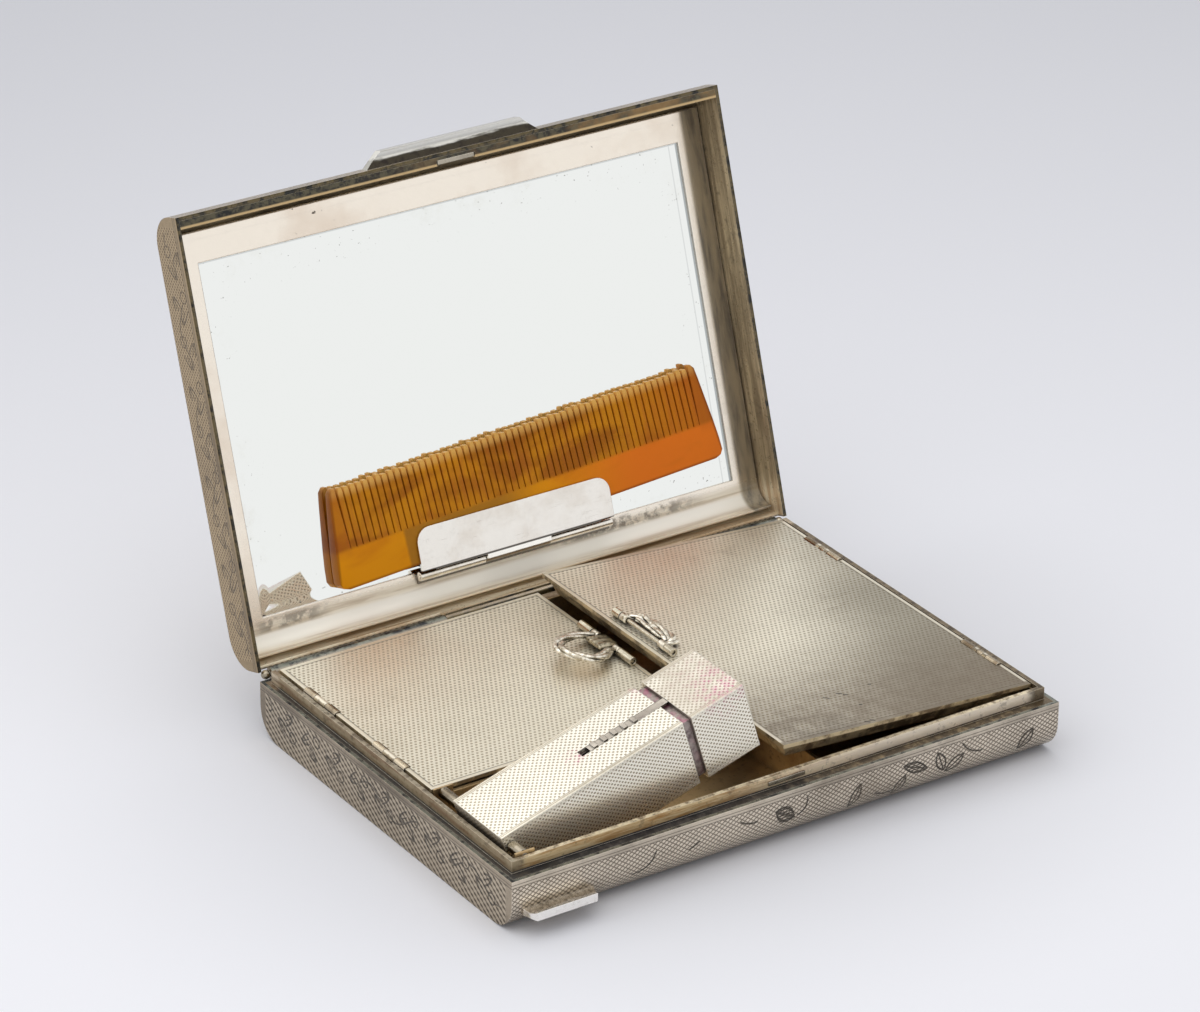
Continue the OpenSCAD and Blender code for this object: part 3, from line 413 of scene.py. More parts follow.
def shell_material(name, turn, flat, bottom, sign):
    """The two shells: turned walls with an engraved stem, a plain band at the open edge, tarnish
    inside. The depth is counted from the outer flat face at z = bottom to the open edge at flat,
    upwards for sign 1 and downwards for sign -1."""
    m = Material(name, turn)
    depth = m.mul(m.sub(m.z, bottom), sign)
    ay = m.mag(m.y)
    round_v = m.mul(m.math("ARCTAN2", m.high(m.sub(ROUND, depth), 0.0),
                           m.high(m.sub(ay, ROUND_Y), 0.001)), ROUND)
    v = m.add(m.sub(flat, m.high(depth, ROUND)), round_v, m.high(m.sub(ROUND_Y, ay), 0.0))
    side = m.step(m.nx, 0.6, 0.8)
    face = m.mul(m.step(v, 14.4, 15.2), m.flip(side))
    wall = m.mul(m.flip(side), m.flip(face))
    # 1 on the outer faces, 0 inside and on the open edge
    flats = m.high(m.step(m.mag(m.x), 59.6, 59.8), m.step(ay, 42.8, 42.95))
    arc = m.join(0.0, m.high(m.sub(ay, ROUND_Y), 0.0), m.high(m.sub(ROUND, depth), 0.0))
    out = m.high(flats, m.step(m.vec("LENGTH", arc), 5.6, 5.85))
    out = m.high(out, m.step(depth, 0.3, 0.15))
    # turned patterns of the sides, the walls and the flat face
    if sign < 0:
        s1 = m.step(m.mul(m.ripple(m.y, 0.5), m.ripple(m.z, 0.5)), 0.0, 0.6)
    else:
        s1 = m.step(m.add(m.wave(-0.48, 0.787, m.y, m.z),
                          m.mul(m.wave(0.48, 0.787, m.y, m.z), 0.4)), -0.3, 0.9)
    f1 = m.high(m.step(m.wave(0.8, 1.1, m.x, v), 0.3, 0.95),
                m.mul(m.step(m.wave(-0.8, 1.1, m.x, v), 0.3, 0.95), 0.8))
    sweep = m.mul(m.math("SINE", m.mul(m.y, 2 * math.pi / 9.0)), 1.1)
    t1 = m.step(m.add(m.wave(0.9, 0.0, m.add(m.x, sweep), m.y),
                      m.mul(m.wave(0.0, 0.75, m.x, m.y), 0.35)), -0.3, 0.9)
    turned = m.add(m.mul(side, s1), m.mul(wall, f1), m.mul(face, t1))
    rise = m.sub(depth, flat)                        # below zero, and zero at the open edge
    band_v = m.mul(m.flip(face), m.step(rise, -1.5, -1.3))
    frame_d = m.low(m.sub(57.5, m.mag(m.x)), m.sub(38.0, ay))
    shield = m.oval(m.mul(m.x, 1 / 17.0), m.mul(m.y, 1 / 11.0), 2.4)
    face_plain = m.mul(face, m.high(m.step(frame_d, 1.0, 0.8), m.step(shield, 1.04, 1.0)))
    ends = m.mul(side, m.step(ay, 41.0, 41.4))
    plain = m.high(m.high(band_v, face_plain), ends)
    mid = flat / 2 + 0.4
    stem_side = m.mul(side, vine(m, m.y, m.sub(m.mag(depth), mid), 17.0, 1.9),
                      m.step(ay, 40.5, 39.5))
    stem_wall = m.mul(vine(m, m.add(m.x, 4.0), m.sub(v, 6.4), 21.0, 2.4),
                      m.step(m.noise(0.05, 1.0, 0.55), 0.36, 0.42))
    if sign > 0:
        front = sprays(m, m.x, v, [
            (-1.8, 4.6, 30, 2.3, 1.4, 1.0), (13.8, 5.8, -65, 2.6, 0.9, 0),
            (23.8, 6.8, -60, 2.4, 0.9, 0), (27.2, 3.8, 20, 2.8, 1.0, 1.0),
            (33.0, 4.4, 70, 2.2, 1.0, 0), (36.2, 5.6, -35, 2.4, 1.0, 0),
            (52.6, 5.6, -50, 2.4, 1.1, 0)],
            [(-31.5, 5.8, -35, 3.4, 0.12), (-21.5, 4.8, -25, 1.4, 0.0), (-9.8, 4.0, 15, 2.2, 0.1),
             (2.6, 4.4, -55, 2.2, 0.2), (20.4, 7.4, 10, 2.6, 0.1), (39.8, 4.0, 30, 3.0, 0.1)])
        stem_wall = m.mix(m.step(m.y, 3.0, -3.0), stem_wall, front)
    stem_wall = m.mul(wall, stem_wall)
    face_lines = m.mul(face, m.high(m.high(m.band(frame_d, 0.9, 0.25), m.band(frame_d, 2.2, 0.18)),
                                    m.high(m.band(shield, 1.03, 0.03), m.band(shield, 1.16, 0.02))))
    border = vine(m, m.x, m.sub(ay, 31.5), 15.0, 2.4)
    face_stem = m.mul(face, border, m.step(m.mag(m.x), 54.0, 52.0))
    rings = m.mul(m.flip(face), m.high(m.band(rise, -1.4, 0.14), m.band(rise, -0.8, 0.12)), 0.7)
    engraved = m.mul(out, m.high(m.high(m.mul(stem_side, 0.6 if sign < 0 else 0.85), stem_wall),
                                 m.high(m.high(face_lines, face_stem), rings)))
    turned = m.mul(turned, out)
    grime = m.hollows(3.0, 0.6, 0.15, 0.55)
    soft = m.soft(0.35)
    *turned_tints, lip_tints = SHELL_TINTS[turn]
    metals = [m.mix(side, *pair) for pair in turned_tints]
    rough, normal = engine_turned(m, turned, engraved, plain, *metals, grime, soft)
    patchy = m.noise(0.06)
    m.lay((92, 78, 62), m.step(patchy, 0.5, 0.75), out, 0.35)
    # inside and on the open edge
    spots = m.noise(0.5, 5.0, 0.7)
    streak = m.streaks(0.06, 0.06, 0.9, 4.0, 0.65)
    inside = m.mix(m.step(streak, 0.35, 0.7), (140, 124, 98), (200, 182, 148))
    inside = m.mix(m.mul(m.step(spots, 0.55, 0.7), 0.5), inside, (54, 48, 42))
    # Painted light: the inside turns much paler towards the hinge, against the shade that falls
    # there
    inside = m.mix(m.mul(m.step(m.y, 34.0, 39.0), 0.95), inside,
                   m.mix(m.step(streak, 0.4, 0.65), (212, 184, 146), (255, 244, 216)))
    m.lay(inside, m.flip(out))
    lip = m.mul(m.step(rise, -0.06, -0.01), m.step(m.nz, 0.6, 0.9))
    m.lay(m.mix(m.step(spots, 0.42, 0.62), *lip_tints), lip)
    metal = m.add(m.mul(out, 0.5), 0.35)
    return m.finish(rough, metal, normal)


def rim_material():
    """Tarnished ledge, and the raised rim round it with streaks that grow paler to the right."""
    m = Material("tarnished_rim")
    soft = m.soft(0.2)
    streak = m.streaks(0.09, 0.09, 1.2, 5.0, 0.7)
    small = m.noise(0.6, 5.0, 0.7)
    right = m.step(m.x, -22.0, 30.0)
    ledge = m.mix(m.step(small, 0.4, 0.72), m.mix(right, (46, 50, 58), (80, 70, 58)),
                  m.mix(right, (92, 92, 94), (160, 142, 112)))
    ledge = m.mix(m.mul(m.step(streak, 0.56, 0.66), 0.5), ledge, (34, 34, 38))
    riser = m.mix(m.step(streak, 0.35, 0.6), m.mix(right, (176, 132, 78), (238, 224, 204)),
                  m.mix(right, (222, 198, 152), (246, 232, 210)))
    riser = m.mix(m.mul(m.step(small, 0.54, 0.68), 0.45), riser,
                  m.mix(right, (66, 54, 42), (104, 92, 84)))
    top = m.mix(m.step(small, 0.42, 0.66), (232, 218, 188), (132, 112, 88))
    m.colour = m.mix(m.step(m.z, 11.05, 11.25), ledge, riser)
    m.lay(top, m.step(m.z, 12.9, 13.1), m.step(m.nz, 0.5, 0.9))
    m.lay(m.mix(m.step(small, 0.4, 0.65), (114, 98, 74), (62, 52, 40)),
          m.step(m.x, 54.0, 56.5), 0.95)
    m.lay(m.mix(m.step(small, 0.4, 0.65), (112, 104, 94), (62, 60, 58)),
          m.step(m.x, -55.0, -57.0), 0.6)
    m.lay(m.mix(m.step(streak, 0.4, 0.6), (124, 102, 78), (218, 202, 176)),
          m.step(m.y, 38.0, 39.6), 0.85)
    m.lay(DARK, m.hollows(1.2, 0.6, 0.15, 0.6))
    m.lay((232, 218, 194), m.worn(soft), 0.5)
    rough = m.add(m.mul(small, 0.3), 0.25)
    return m.finish(rough, 0.6, m.bump(m.add(small, m.mul(streak, 0.5)), 0.05, 0.35, soft))


def polished_material(name, light, dim, grey=DARK, turn=None, grime_at=(0.7, 0.2), rough=0.14,
                      blotch=0.35, painted_knuckle_y=None, painted_shade_from_z=None):
    """Plain polished silver: hairlines, clouded patches, dark corners, bright edges.

    At the knuckle's y a dark painted shadow line is drawn, with the knuckle beyond it shaded round
    by painted highlight and shade. From the flange's z up the colour is darkened, a painted shade
    beside the knuckle."""
    m = Material(name, turn)
    soft = m.soft(0.18)
    cloud = m.noise(0.12)
    small = m.noise(0.7, 4.0, 0.65)
    m.colour = m.mix(m.step(cloud, 0.4, 0.7), light, dim)
    m.lay(grey, m.step(small, 0.58, 0.74), blotch)
    lines = scratches(m, 0.2)
    m.lay(grey, lines)
    m.lay(DARK, m.hollows(1.5, *grime_at, 0.8))
    m.lay((244, 240, 230), m.worn(soft), 0.45)
    if painted_knuckle_y is not None:
        # Painted highlight and shade that make the plate's edge look like a round knuckle, with a
        # painted shadow line in front of it
        knuckle = m.mix(m.band(m.y, painted_knuckle_y + 0.6, 0.9), (138, 124, 106), (255, 252, 246))
        m.lay(knuckle, m.step(m.y, painted_knuckle_y, painted_knuckle_y + 0.1))
        m.lay((62, 54, 46), m.band(m.y, painted_knuckle_y, 0.28), 0.9)
    if painted_shade_from_z is not None:
        # Painted shade along the hinge leaf beside the barrel
        m.lay((82, 70, 56), m.step(m.z, painted_shade_from_z - 0.3, painted_shade_from_z), 0.85)
    r = m.add(m.mul(small, 0.16), m.mul(lines, 0.5), rough)
    return m.finish(r, 1.0, m.bump(m.add(m.mul(small, 0.4), lines), 0.02, 0.25, soft))


def lid_rim_material():
    """Tarnished land along the outer lid's front edge, with a tan line where it meets the frame."""
    m = Material("dark_lid_rim", "lid")
    soft = m.soft(0.15)
    small = m.noise(0.8, 5.0, 0.7)
    warm = m.mul(m.step(m.noise(0.1, 4.0, 0.65), 0.45, 0.6), m.step(m.x, -30.0, 30.0))
    m.colour = m.mix(m.step(small, 0.4, 0.62), (96, 90, 72), (44, 44, 44))
    m.lay((160, 128, 84), warm, 0.7)
    m.lay((216, 186, 136), m.step(m.y, -41.35, -41.05), 0.85)
    m.lay((216, 208, 188), m.worn(soft), 0.4)
    return m.finish(m.add(m.mul(small, 0.3), 0.3), 0.6, m.bump(small, 0.04, 0.4, soft))


def frame_material():
    """Pale polished mirror frame, streaked brown along the hinge, with a painted highlight along
    the curve there and a painted dark reflection at its right, where it is also duller.
    """
    m = Material("mirror_frame_silver", "lid")
    soft = m.soft(0.3)
    cloud = m.noise(0.05)
    small = m.noise(0.6, 4.0, 0.7)
    m.colour = m.mix(m.step(cloud, 0.45, 0.75), (246, 237, 224), (232, 218, 202))
    hinge_side = m.step(m.y, 35.2, 37.4)
    streak = m.streaks(0.05, 0.9, 0.9)
    brown = m.mix(m.step(streak, 0.38, 0.6), (196, 176, 146), (246, 236, 214))
    m.lay(brown, hinge_side, 0.75)
    m.lay((240, 216, 176), m.step(m.y, 40.6, 41.6), 0.7)
    # Painted highlight along the curve at the hinge, where the frame is less metallic
    m.lay((255, 250, 238), m.band(m.y, 39.2, 1.7))
    smoke = m.mul(m.band(m.y, 36.6, 1.6), m.step(m.noise(0.3, 5.0, 0.7), 0.4, 0.55),
                  m.high(m.band(m.x, 28.0, 20.0), m.mul(m.band(m.x, -48.0, 10.0), 0.8)))
    m.lay((104, 94, 84), smoke, 0.75)
    # Painted dark reflection along the right side, streaked, with less metal there
    right = m.step(m.x, 54.4, 55.4)
    side = m.mix(m.step(m.streaks(0.7, 0.08, 0.7), 0.4, 0.66), (152, 140, 116), (84, 78, 68))
    m.lay(side, right, 0.85)
    spots = m.mul(m.step(m.noise(0.45, 3.0, 0.6), 0.7, 0.73), m.step(m.y, -33.0, -35.5))
    m.lay((50, 38, 30), spots, 0.9)
    m.lay((84, 70, 56), m.hollows(1.2, 0.5, 0.1, 0.35))
    m.lay((246, 240, 228), m.worn(soft), 0.5)
    rough = m.add(m.mul(small, 0.14), 0.16, m.mul(hinge_side, 0.2))
    metal = m.math("SUBTRACT", 1.0, m.high(m.mul(hinge_side, 0.75), m.mul(right, 0.3)))
    height = m.add(small, m.mul(scratches(m), 0.4))
    return m.finish(rough, metal, m.bump(height, 0.02, 0.2, soft))


def gilt_material():
    """Worn, scratched gilt of the wells."""
    m = Material("worn_gilt")
    soft = m.soft(0.2)
    cloud = m.noise(0.07)
    small = m.noise(0.8, 5.0, 0.7)
    m.colour = m.mix(m.step(cloud, 0.35, 0.7), (212, 186, 142), (170, 142, 104))
    m.lay((92, 74, 56), m.step(small, 0.52, 0.72), 0.45)
    m.lay((220, 204, 172), scratches(m, 0.3))
    # Painted shade in the wells' corners
    m.lay((52, 40, 30), m.hollows(5.0, 0.8, 0.2, 0.6))
    rough = m.add(m.mul(small, 0.25), 0.3)
    return m.finish(rough, 0.9, m.bump(small, 0.03, 0.3, soft))


def glass_material():
    """Silvered mirror glass with a bevelled edge, dark lines along two edges that are partly the
    glass edge and partly a painted shadow of the gap, and haze and specks near it.
    """
    m = Material("silvered_glass", "lid")
    side, hinge, front = 53.5, 34.9, 32.9            # edges of the frame's window
    d = m.low(m.sub(side, m.mag(m.x)), m.low(m.sub(hinge, m.y), m.add(m.y, front)))
    tiny = m.noise(1.6, 2.0, 0.6)
    near = m.step(d, 9.0, 0.5)
    patch = m.noise(0.08, 3.0, 0.6)
    specks = m.mul(m.step(tiny, 0.71, 0.73), near, m.step(patch, 0.38, 0.5))
    at_right, at_top = m.sub(side, m.x), m.add(m.y, front)
    # Dark lines along the right and top edges: the glass edge and a painted shadow of the gap under
    # the frame
    line = m.high(m.mul(m.step(at_right, 0.75, 0.5), 0.8),
                  m.high(m.mul(m.band(at_right, 2.1, 0.2), 0.25),
                         m.mul(m.step(at_top, 0.4, 0.25), 0.4)))
    haze = m.mul(m.step(m.noise(0.2, 4.0, 0.65), 0.5, 0.8), m.step(d, 6.0, 0.0), 0.25)
    m.colour = m.mix(haze, (240, 242, 240), (206, 202, 186))
    m.lay((150, 156, 158), line)
    m.lay((70, 66, 44), specks, 0.85)
    rough = m.add(m.mul(haze, 0.25), m.mul(specks, 0.4), 0.015)
    return m.finish(rough, 1.0, m.bump(m.step(d, 2.5, 0.0), 0.12, 0.3))


def plain_material(name, base, dark, rough, turn=None):
    m = Material(name, turn)
    fine = m.noise(1.2)
    m.colour = m.mix(m.step(fine, 0.4, 0.7), base, dark)
    return m.finish(m.add(m.mul(fine, 0.2), rough), 0.0, m.bump(fine, 0.04, 0.3))


def amber_material():
    """Amber-coloured comb, clouded brown, with a paler, redder spine, a painted shadow of the clip
    across it, and painted shade between the teeth.
    """
    m = Material("clouded_amber", "lid")
    ca, sa = math.cos(COMB_TILT), math.sin(COMB_TILT)
    dx, dy = m.sub(m.x, COMB_X), m.sub(m.y, COMB_Y)
    u = m.sub(m.mul(dx, ca), m.mul(dy, sa))
    v = m.mul(m.add(m.mul(dx, sa), m.mul(dy, ca)), -1.0)     # from the back edge to the tips
    cloud = m.noise(1.0, 3.0, 0.55, m.join(m.mul(u, 0.06), m.mul(v, 0.12), m.mul(m.z, 0.1)), 0.4)
    streak = m.noise(1.0, 4.0, 0.6, m.join(m.mul(u, 0.8), m.mul(v, 0.12), m.mul(m.z, 0.3)), 0.3)
    teeth = m.mix(m.step(cloud, 0.4, 0.62), (204, 133, 16), (163, 95, 12))
    teeth = m.mix(m.mul(m.step(streak, 0.45, 0.65), 0.35), teeth, (176, 96, 34))
    teeth = m.mix(m.mul(m.step(u, 18.0, 44.0), 0.6), teeth, (186, 88, 16))
    teeth = m.mix(m.mul(m.step(v, 16.6, 18.8), 0.75), teeth, (240, 190, 104))
    spine = m.mix(m.step(u, 0.0, 26.0), (226, 146, 8), (232, 120, 26))
    spine = m.mix(m.mul(m.step(cloud, 0.45, 0.65), 0.4), spine, (196, 104, 10))
    # Painted shadow of the clip on the spine
    painted_clip_shadow = m.mul(m.step(u, -29.0, -28.2), m.step(u, 4.0, -8.0), 0.6)
    spine = m.mix(painted_clip_shadow, spine, (124, 92, 36))
    m.colour = m.mix(m.step(v, SPINE + 0.5, SPINE - 0.5), teeth, spine)
    guard = m.step(m.mag(u), 39.6, 40.8)
    m.lay((176, 92, 22), guard, m.step(v, 5.0, 9.0), 0.45)
    to_end = m.sub(L / 2, m.add(m.mag(u), m.mul(v, 0.134)))  # the ends taper
    outline = m.high(m.step(v, 0.7, 0.1), m.step(to_end, 0.7, 0.2))
    m.lay((122, 58, 12), outline, 0.6)
    # Painted shade in the gaps between the teeth
    m.lay((150, 84, 44), m.hollows(0.5, 0.6, 0.2, 0.4, 6))
    return m.finish(0.3, 0.0, m.bump(m.add(cloud, scratches(m, 0.3)), 0.02, 0.15),
                    Specular_IOR_Level=0.12)


def cast_material(name, light, dim):
    """Cast and chased silver of the pulls: bright ridges, dark hollows."""
    m = Material(name)
    small = m.noise(1.1, 4.0, 0.7)
    m.colour = m.mix(m.step(small, 0.4, 0.68), light, dim)
    m.lay((36, 32, 28), m.hollows(0.9, 0.9, 0.4, 0.9, 6))
    return m.finish(m.add(m.mul(small, 0.2), 0.2), 0.9, m.bump(small, 0.12, 0.5))


def tube_material():
    """Mauve-grey inner tube of the holder, stained pink where the cap meets it."""
    m = Material("stained_inner_tube", "holder")
    soft = m.soft(0.15)
    small = m.noise(0.8, 4.0, 0.7)
    m.colour = m.mix(m.step(small, 0.4, 0.7), (168, 156, 150), (112, 98, 98))
    reach = m.add(m.mul(m.step(m.nz, 0.6, 0.9), 0.45), m.mul(m.step(m.x, -16.4, -15.2), 0.15))
    m.lay((178, 96, 128), m.step(m.noise(0.5), 0.45, 0.6), reach)
    m.lay(DARK, m.hollows(1.5, 0.7, 0.2, 0.7))
    return m.finish(m.add(m.mul(small, 0.3), 0.25), 0.85, m.bump(small, 0.03, 0.3, soft))


def lifted_material(name, turn, inner, deep, outer):
    """A finger piece: polished near its tip, and towards where it meets the case darker with
    streaks on all but its front and back faces, partly tarnish and partly painted shade.
    """
    m = Material(name, turn)
    soft = m.soft(0.15)
    streak = m.streaks(0.12, 0.8, 0.8, 5.0, 0.65)
    small = m.noise(0.9, 4.0, 0.65)
    root, tip = -43.1, -46.1
    at = m.math("DIVIDE", m.sub(m.y, root), tip - root)
    dark = m.step(m.add(at, m.mul(m.sub(streak, 0.5), 0.9)), 0.62, 0.4)
    m.colour = m.mix(m.mul(m.step(small, 0.55, 0.75), 0.3), outer, (186, 182, 170))
    # Partly painted shade: only faces not turned to the front or back are darkened towards the root
    m.lay(m.mix(m.step(small, 0.45, 0.7), inner, deep), dark, m.flip(m.step(m.ny, 0.6, 0.9)))
    m.lay((252, 248, 240), m.worn(soft), 0.6)
    rough = m.add(m.mul(small, 0.2), 0.14)
    return m.finish(rough, 0.85, m.bump(m.add(small, scratches(m, 0.5)), 0.03, 0.25, soft))


def dress(names, material):
    for name in names:
        mesh = NODES[name].data
        mesh.materials.clear()
        mesh.materials.append(material)


# Lying flat, the holder takes up x -56.5 to -16.7, y -35.4 to -19.6 and z 1.4 to 15.5
dress(["holder_body"], holder_material(
    "turned_holder", (-36.6, -27.5, 8.45), (19.9, 7.9, 7.05),
    [((-35.0, -27.5, 15.5), 3.0, 0.8), ((-17.0, -21.0, 15.5), 3.0, 0.5)]))
dress(["holder_cap"], holder_material(
    "turned_cap", (-9.05, -27.5, 8.45), (5.8, 7.9, 7.05),
    [((-4.5, -31.0, 15.5), 7.0, 0.75), ((-8.0, -34.0, 15.5), 6.0, 0.55),
     ((-6.0, -27.5, 15.5), 10.0, 0.25)], soil=0.6))
dress(["holder_inner_tube"], tube_material())
dress(["left_inner_lid"], inner_lid_material(
    "turned_left_lid", None, (-28.475, 14.5, 13.0), (28.475, 26.5, 0.4), True))
dress(["right_inner_lid"], inner_lid_material(
    "turned_right_lid", "right", (28.875, 1.35, 13.0), (28.075, 39.65, 0.4), False))
dress(["base_shell"], shell_material("turned_base", None, 10.8, 0.0, 1.0))
dress(["lid_shell"], shell_material("turned_outer_lid", "lid", 9.2, 20.1, -1.0))
dress(["base_rim"], rim_material())
dress(["lid_front_rim"], lid_rim_material())
dress(["mirror_frame"], frame_material())
dress(["mirror_glass"], glass_material())
dress(["mirror_backing"], plain_material("backing_card", (120, 112, 100), (92, 84, 74), 0.7))
dress(["left_well", "right_well", "lipstick_well", "lipstick_cup"], gilt_material())
dress(["lipstick"], plain_material("lipstick_wax", (188, 66, 112), (150, 44, 84), 0.35, "holder"))
dress(["clip_plate"], polished_material(
    "clip_silver", (240, 236, 230), (228, 221, 212), (186, 176, 162), "lid",
    rough=0.1, blotch=0.12, painted_knuckle_y=34.4))
dress(["clip_leaf", "clip_pin"], polished_material(
    "clip_hinge_silver", (250, 245, 236), (214, 203, 186), (140, 126, 108), "lid", painted_shade_from_z=17.5))
dress(["lid_thumbpiece"], lifted_material(
    "thumbpiece_silver", "lid", (70, 64, 53), (52, 46, 42), (226, 224, 216)))
dress(["lid_catch"], polished_material(
    "catch_silver", (176, 168, 154), (120, 112, 100), turn="lid"))
dress(["base_tab"], lifted_material(
    "tab_silver", None, (202, 191, 174), (134, 124, 108), (248, 245, 240)))
dress(["base_catch", "main_hinge_pin", "holder_pivot_pin", "pivot_sleeves"],
      polished_material("dim_silver", (176, 166, 148), (116, 104, 88)))
dress(["left_hinge_tubes", "right_hinge_tubes", "left_hinge_pins", "right_hinge_pins",
       "right_lift_leaves"],
      polished_material("small_hinge_silver", (206, 192, 168), (120, 104, 84), rough=0.18))
dress(["left_pull_tubes", "right_pull_tubes", "left_pull_pin", "right_pull_pin"],
      polished_material("pull_tube_silver", (222, 214, 196), (150, 140, 120), (80, 72, 60)))
dress(["holder_slider"], polished_material(
    "slider_silver", (196, 188, 176), (150, 142, 132), (120, 100, 104), "holder",
    grime_at=(0.9, 0.4)))


def new_piece(name, bm, material, smooth=True):
    mesh = bpy.data.meshes.new(name)
    bmesh.ops.recalc_face_normals(bm, faces=bm.faces)
    bm.to_mesh(mesh)
    bm.free()
    mesh.materials.append(material)
    if smooth:
        for polygon in mesh.polygons:
            polygon.use_smooth = True
    obj = bpy.data.objects.new(name, mesh)
    bpy.context.scene.collection.objects.link(obj)
    return obj


def turned_back(kind):
    """Matrix that takes millimetres in the flat, shut layout to metres in the rest pose."""
    centre, axis, angle = TURNS[kind]
    c = Vector(centre)
    turn = Matrix.Translation(c) @ Matrix.Rotation(-angle, 4, axis) @ Matrix.Translation(-c)
    return Matrix.Scale(0.001, 4) @ turn


def curve_at(points, i, t):
    """Point at t, 0 to 1, between points i and i + 1 of a smooth curve through all points."""
    a, b = points[max(i - 1, 0)], points[i]
    c, d = points[i + 1], points[min(i + 2, len(points) - 1)]
    return 0.5 * (2 * b + (c - a) * t + (2 * a - 5 * b + 4 * c - d) * t * t
                  + (3 * b - a - 3 * c + d) * t * t * t)


def smooth_path(points, steps):
    path = [curve_at(points, i, k / steps) for i in range(len(points) - 1) for k in range(steps)]
    return path + [points[-1]]


def join_rings(bm, rings, closed=True):
    """Faces from each ring of vertices to the next, and over both ends of a closed form."""
    for r0, r1 in zip(rings, rings[1:]):
        for k in range(len(r0)):
            n = (k + 1) % len(r0)
            bm.faces.new((r0[k], r0[n], r1[n], r1[k]))
    if closed:
        bm.faces.new(rings[0])
        bm.faces.new(rings[-1])


def rod(bm, path, radii, sides=8):
    """A round rod along a path, closed at both ends."""
    rings = []
    for i, p in enumerate(path):
        run = (path[min(i + 1, len(path) - 1)] - path[max(i - 1, 0)]).normalized()
        a = run.cross(Vector((0, 0, 1)))
        a = a.normalized() if a.length > 0.01 else Vector((1, 0, 0))
        b = run.cross(a)
        rings.append([bm.verts.new(p + radii[i] * (a * math.cos(2 * math.pi * k / sides)
                                                   + b * math.sin(2 * math.pi * k / sides)))
                      for k in range(sides)])
    join_rings(bm, rings)


def twig(bm, path, radius, strands, turns, seed):
    """Strands wound round each other along a path, thick and thin like a twig."""
    rng = random.Random(seed)
    phase = [rng.uniform(0, 6.28) for _ in range(6)]
    n = len(path)
    frames = []
    for i in range(n):
        run = (path[min(i + 1, n - 1)] - path[max(i - 1, 0)]).normalized()
        a = run.cross(Vector((0, 0, 1))).normalized()
        frames.append((a, run.cross(a)))
    for s in range(strands):
        line, radii = [], []
        for i, p in enumerate(path):
            t = i / (n - 1)
            swell = 1 + 0.16 * math.sin(23 * t + phase[0]) + 0.12 * math.sin(41 * t + phase[1 + s])
            thin = min(1.0, 0.7 + 2.2 * min(t, 1 - t))
            angle = 2 * math.pi * (turns * t + s / strands)
            a, b = frames[i]
            line.append(p + 0.5 * radius * thin * (a * math.cos(angle) + b * math.sin(angle)))
            radii.append(0.55 * radius * swell * thin)
        rod(bm, line, radii)


def flatten(bm, k):
    """Flatten what has been made so far towards the pin's height."""
    for v in bm.verts:
        v.co.z = PIN_Z + (v.co.z - PIN_Z) * k


def collar(bm, x, middle):
    """A collar round a pull's pin, 2 mm long, with rolled ends and a slight waist."""
    sides, r, bore = 24, 0.84, 0.42
    y0, y1 = middle - 1, middle + 1
    less = {0.0: 0.12, 0.12: 0.0, 0.5: 0.08, 0.88: 0.0, 1.0: 0.12}
    profile = [(y0 + (y1 - y0) * t, r - cut) for t, cut in less.items()]
    rings = [[bm.verts.new((x + rr * math.cos(2 * math.pi * k / sides), y,
                            PIN_Z + rr * math.sin(2 * math.pi * k / sides)))
              for k in range(sides)]
             for y, rr in [(y0, bore), *profile, (y1, bore)]]
    join_rings(bm, [*rings, rings[0]], closed=False)


def leaf(bm, tip, root, width):
    """A small pointed leaf with a raised vein, lying flat."""
    run = root - tip
    side = run.cross(Vector((0, 0, 1))).normalized()
    up = Vector((0, 0, 0.3))
    n, rings = 12, []
    for i in range(n + 1):
        t = i / n
        w = width * math.sin(math.pi * min(0.97, max(0.03, t)) ** 0.8)
        c = tip + run * t
        rings.append([bm.verts.new(v) for v in (
            c + side * w - up * 0.2, c + side * w * 0.5 + up * 0.35, c + up * 0.9,
            c - side * w * 0.5 + up * 0.35, c - side * w - up * 0.2, c - up * 0.7)])
    join_rings(bm, rings)


# Cast pulls, on the same lines as the solids that they stand for
cast = cast_material("cast_silver", (250, 244, 230), (160, 148, 124))
LEFT_Y = (12.2, 19.4)        # middles of the collars, as RIGHT_Y below
LEFT_LOOP = [(0.06, 1), (0.33, 1.11), (0.66, 0.94), (0.9, 0.6), (1, 0.22), (0.92, -0.25),
             (0.7, -0.62), (0.42, -0.48), (0.2, -0.1), (0.06, 0)]
bm = bmesh.new()
points = [Vector((LEFT_PIN_X - 12.0 * a,
                  LEFT_Y[0] + (b - (b - 0.4) * 0.16 * min(1.0, 3 * a)) * 7.2, PIN_Z))
          for a, b in LEFT_LOOP]
path = smooth_path(points, 8)
twig(bm, path, 1.12, 3, 1.6, 4)
flatten(bm, 0.64)
for y in LEFT_Y:
    collar(bm, LEFT_PIN_X, y)
for t, w in ((26, 0.75), (44, 0.8), (60, 0.7)):
    leaf(bm, path[t] + Vector((0.5, 0.2, 0.25)),
         path[min(t + 9, len(path) - 1)] + Vector((0.2, 0, 0.15)), w)
bm.transform(turned_back("loop"))
left_loop = new_piece("cast_left_loop", bm, cast)
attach(left_loop, "left_pull")
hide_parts("left_pull_loop")

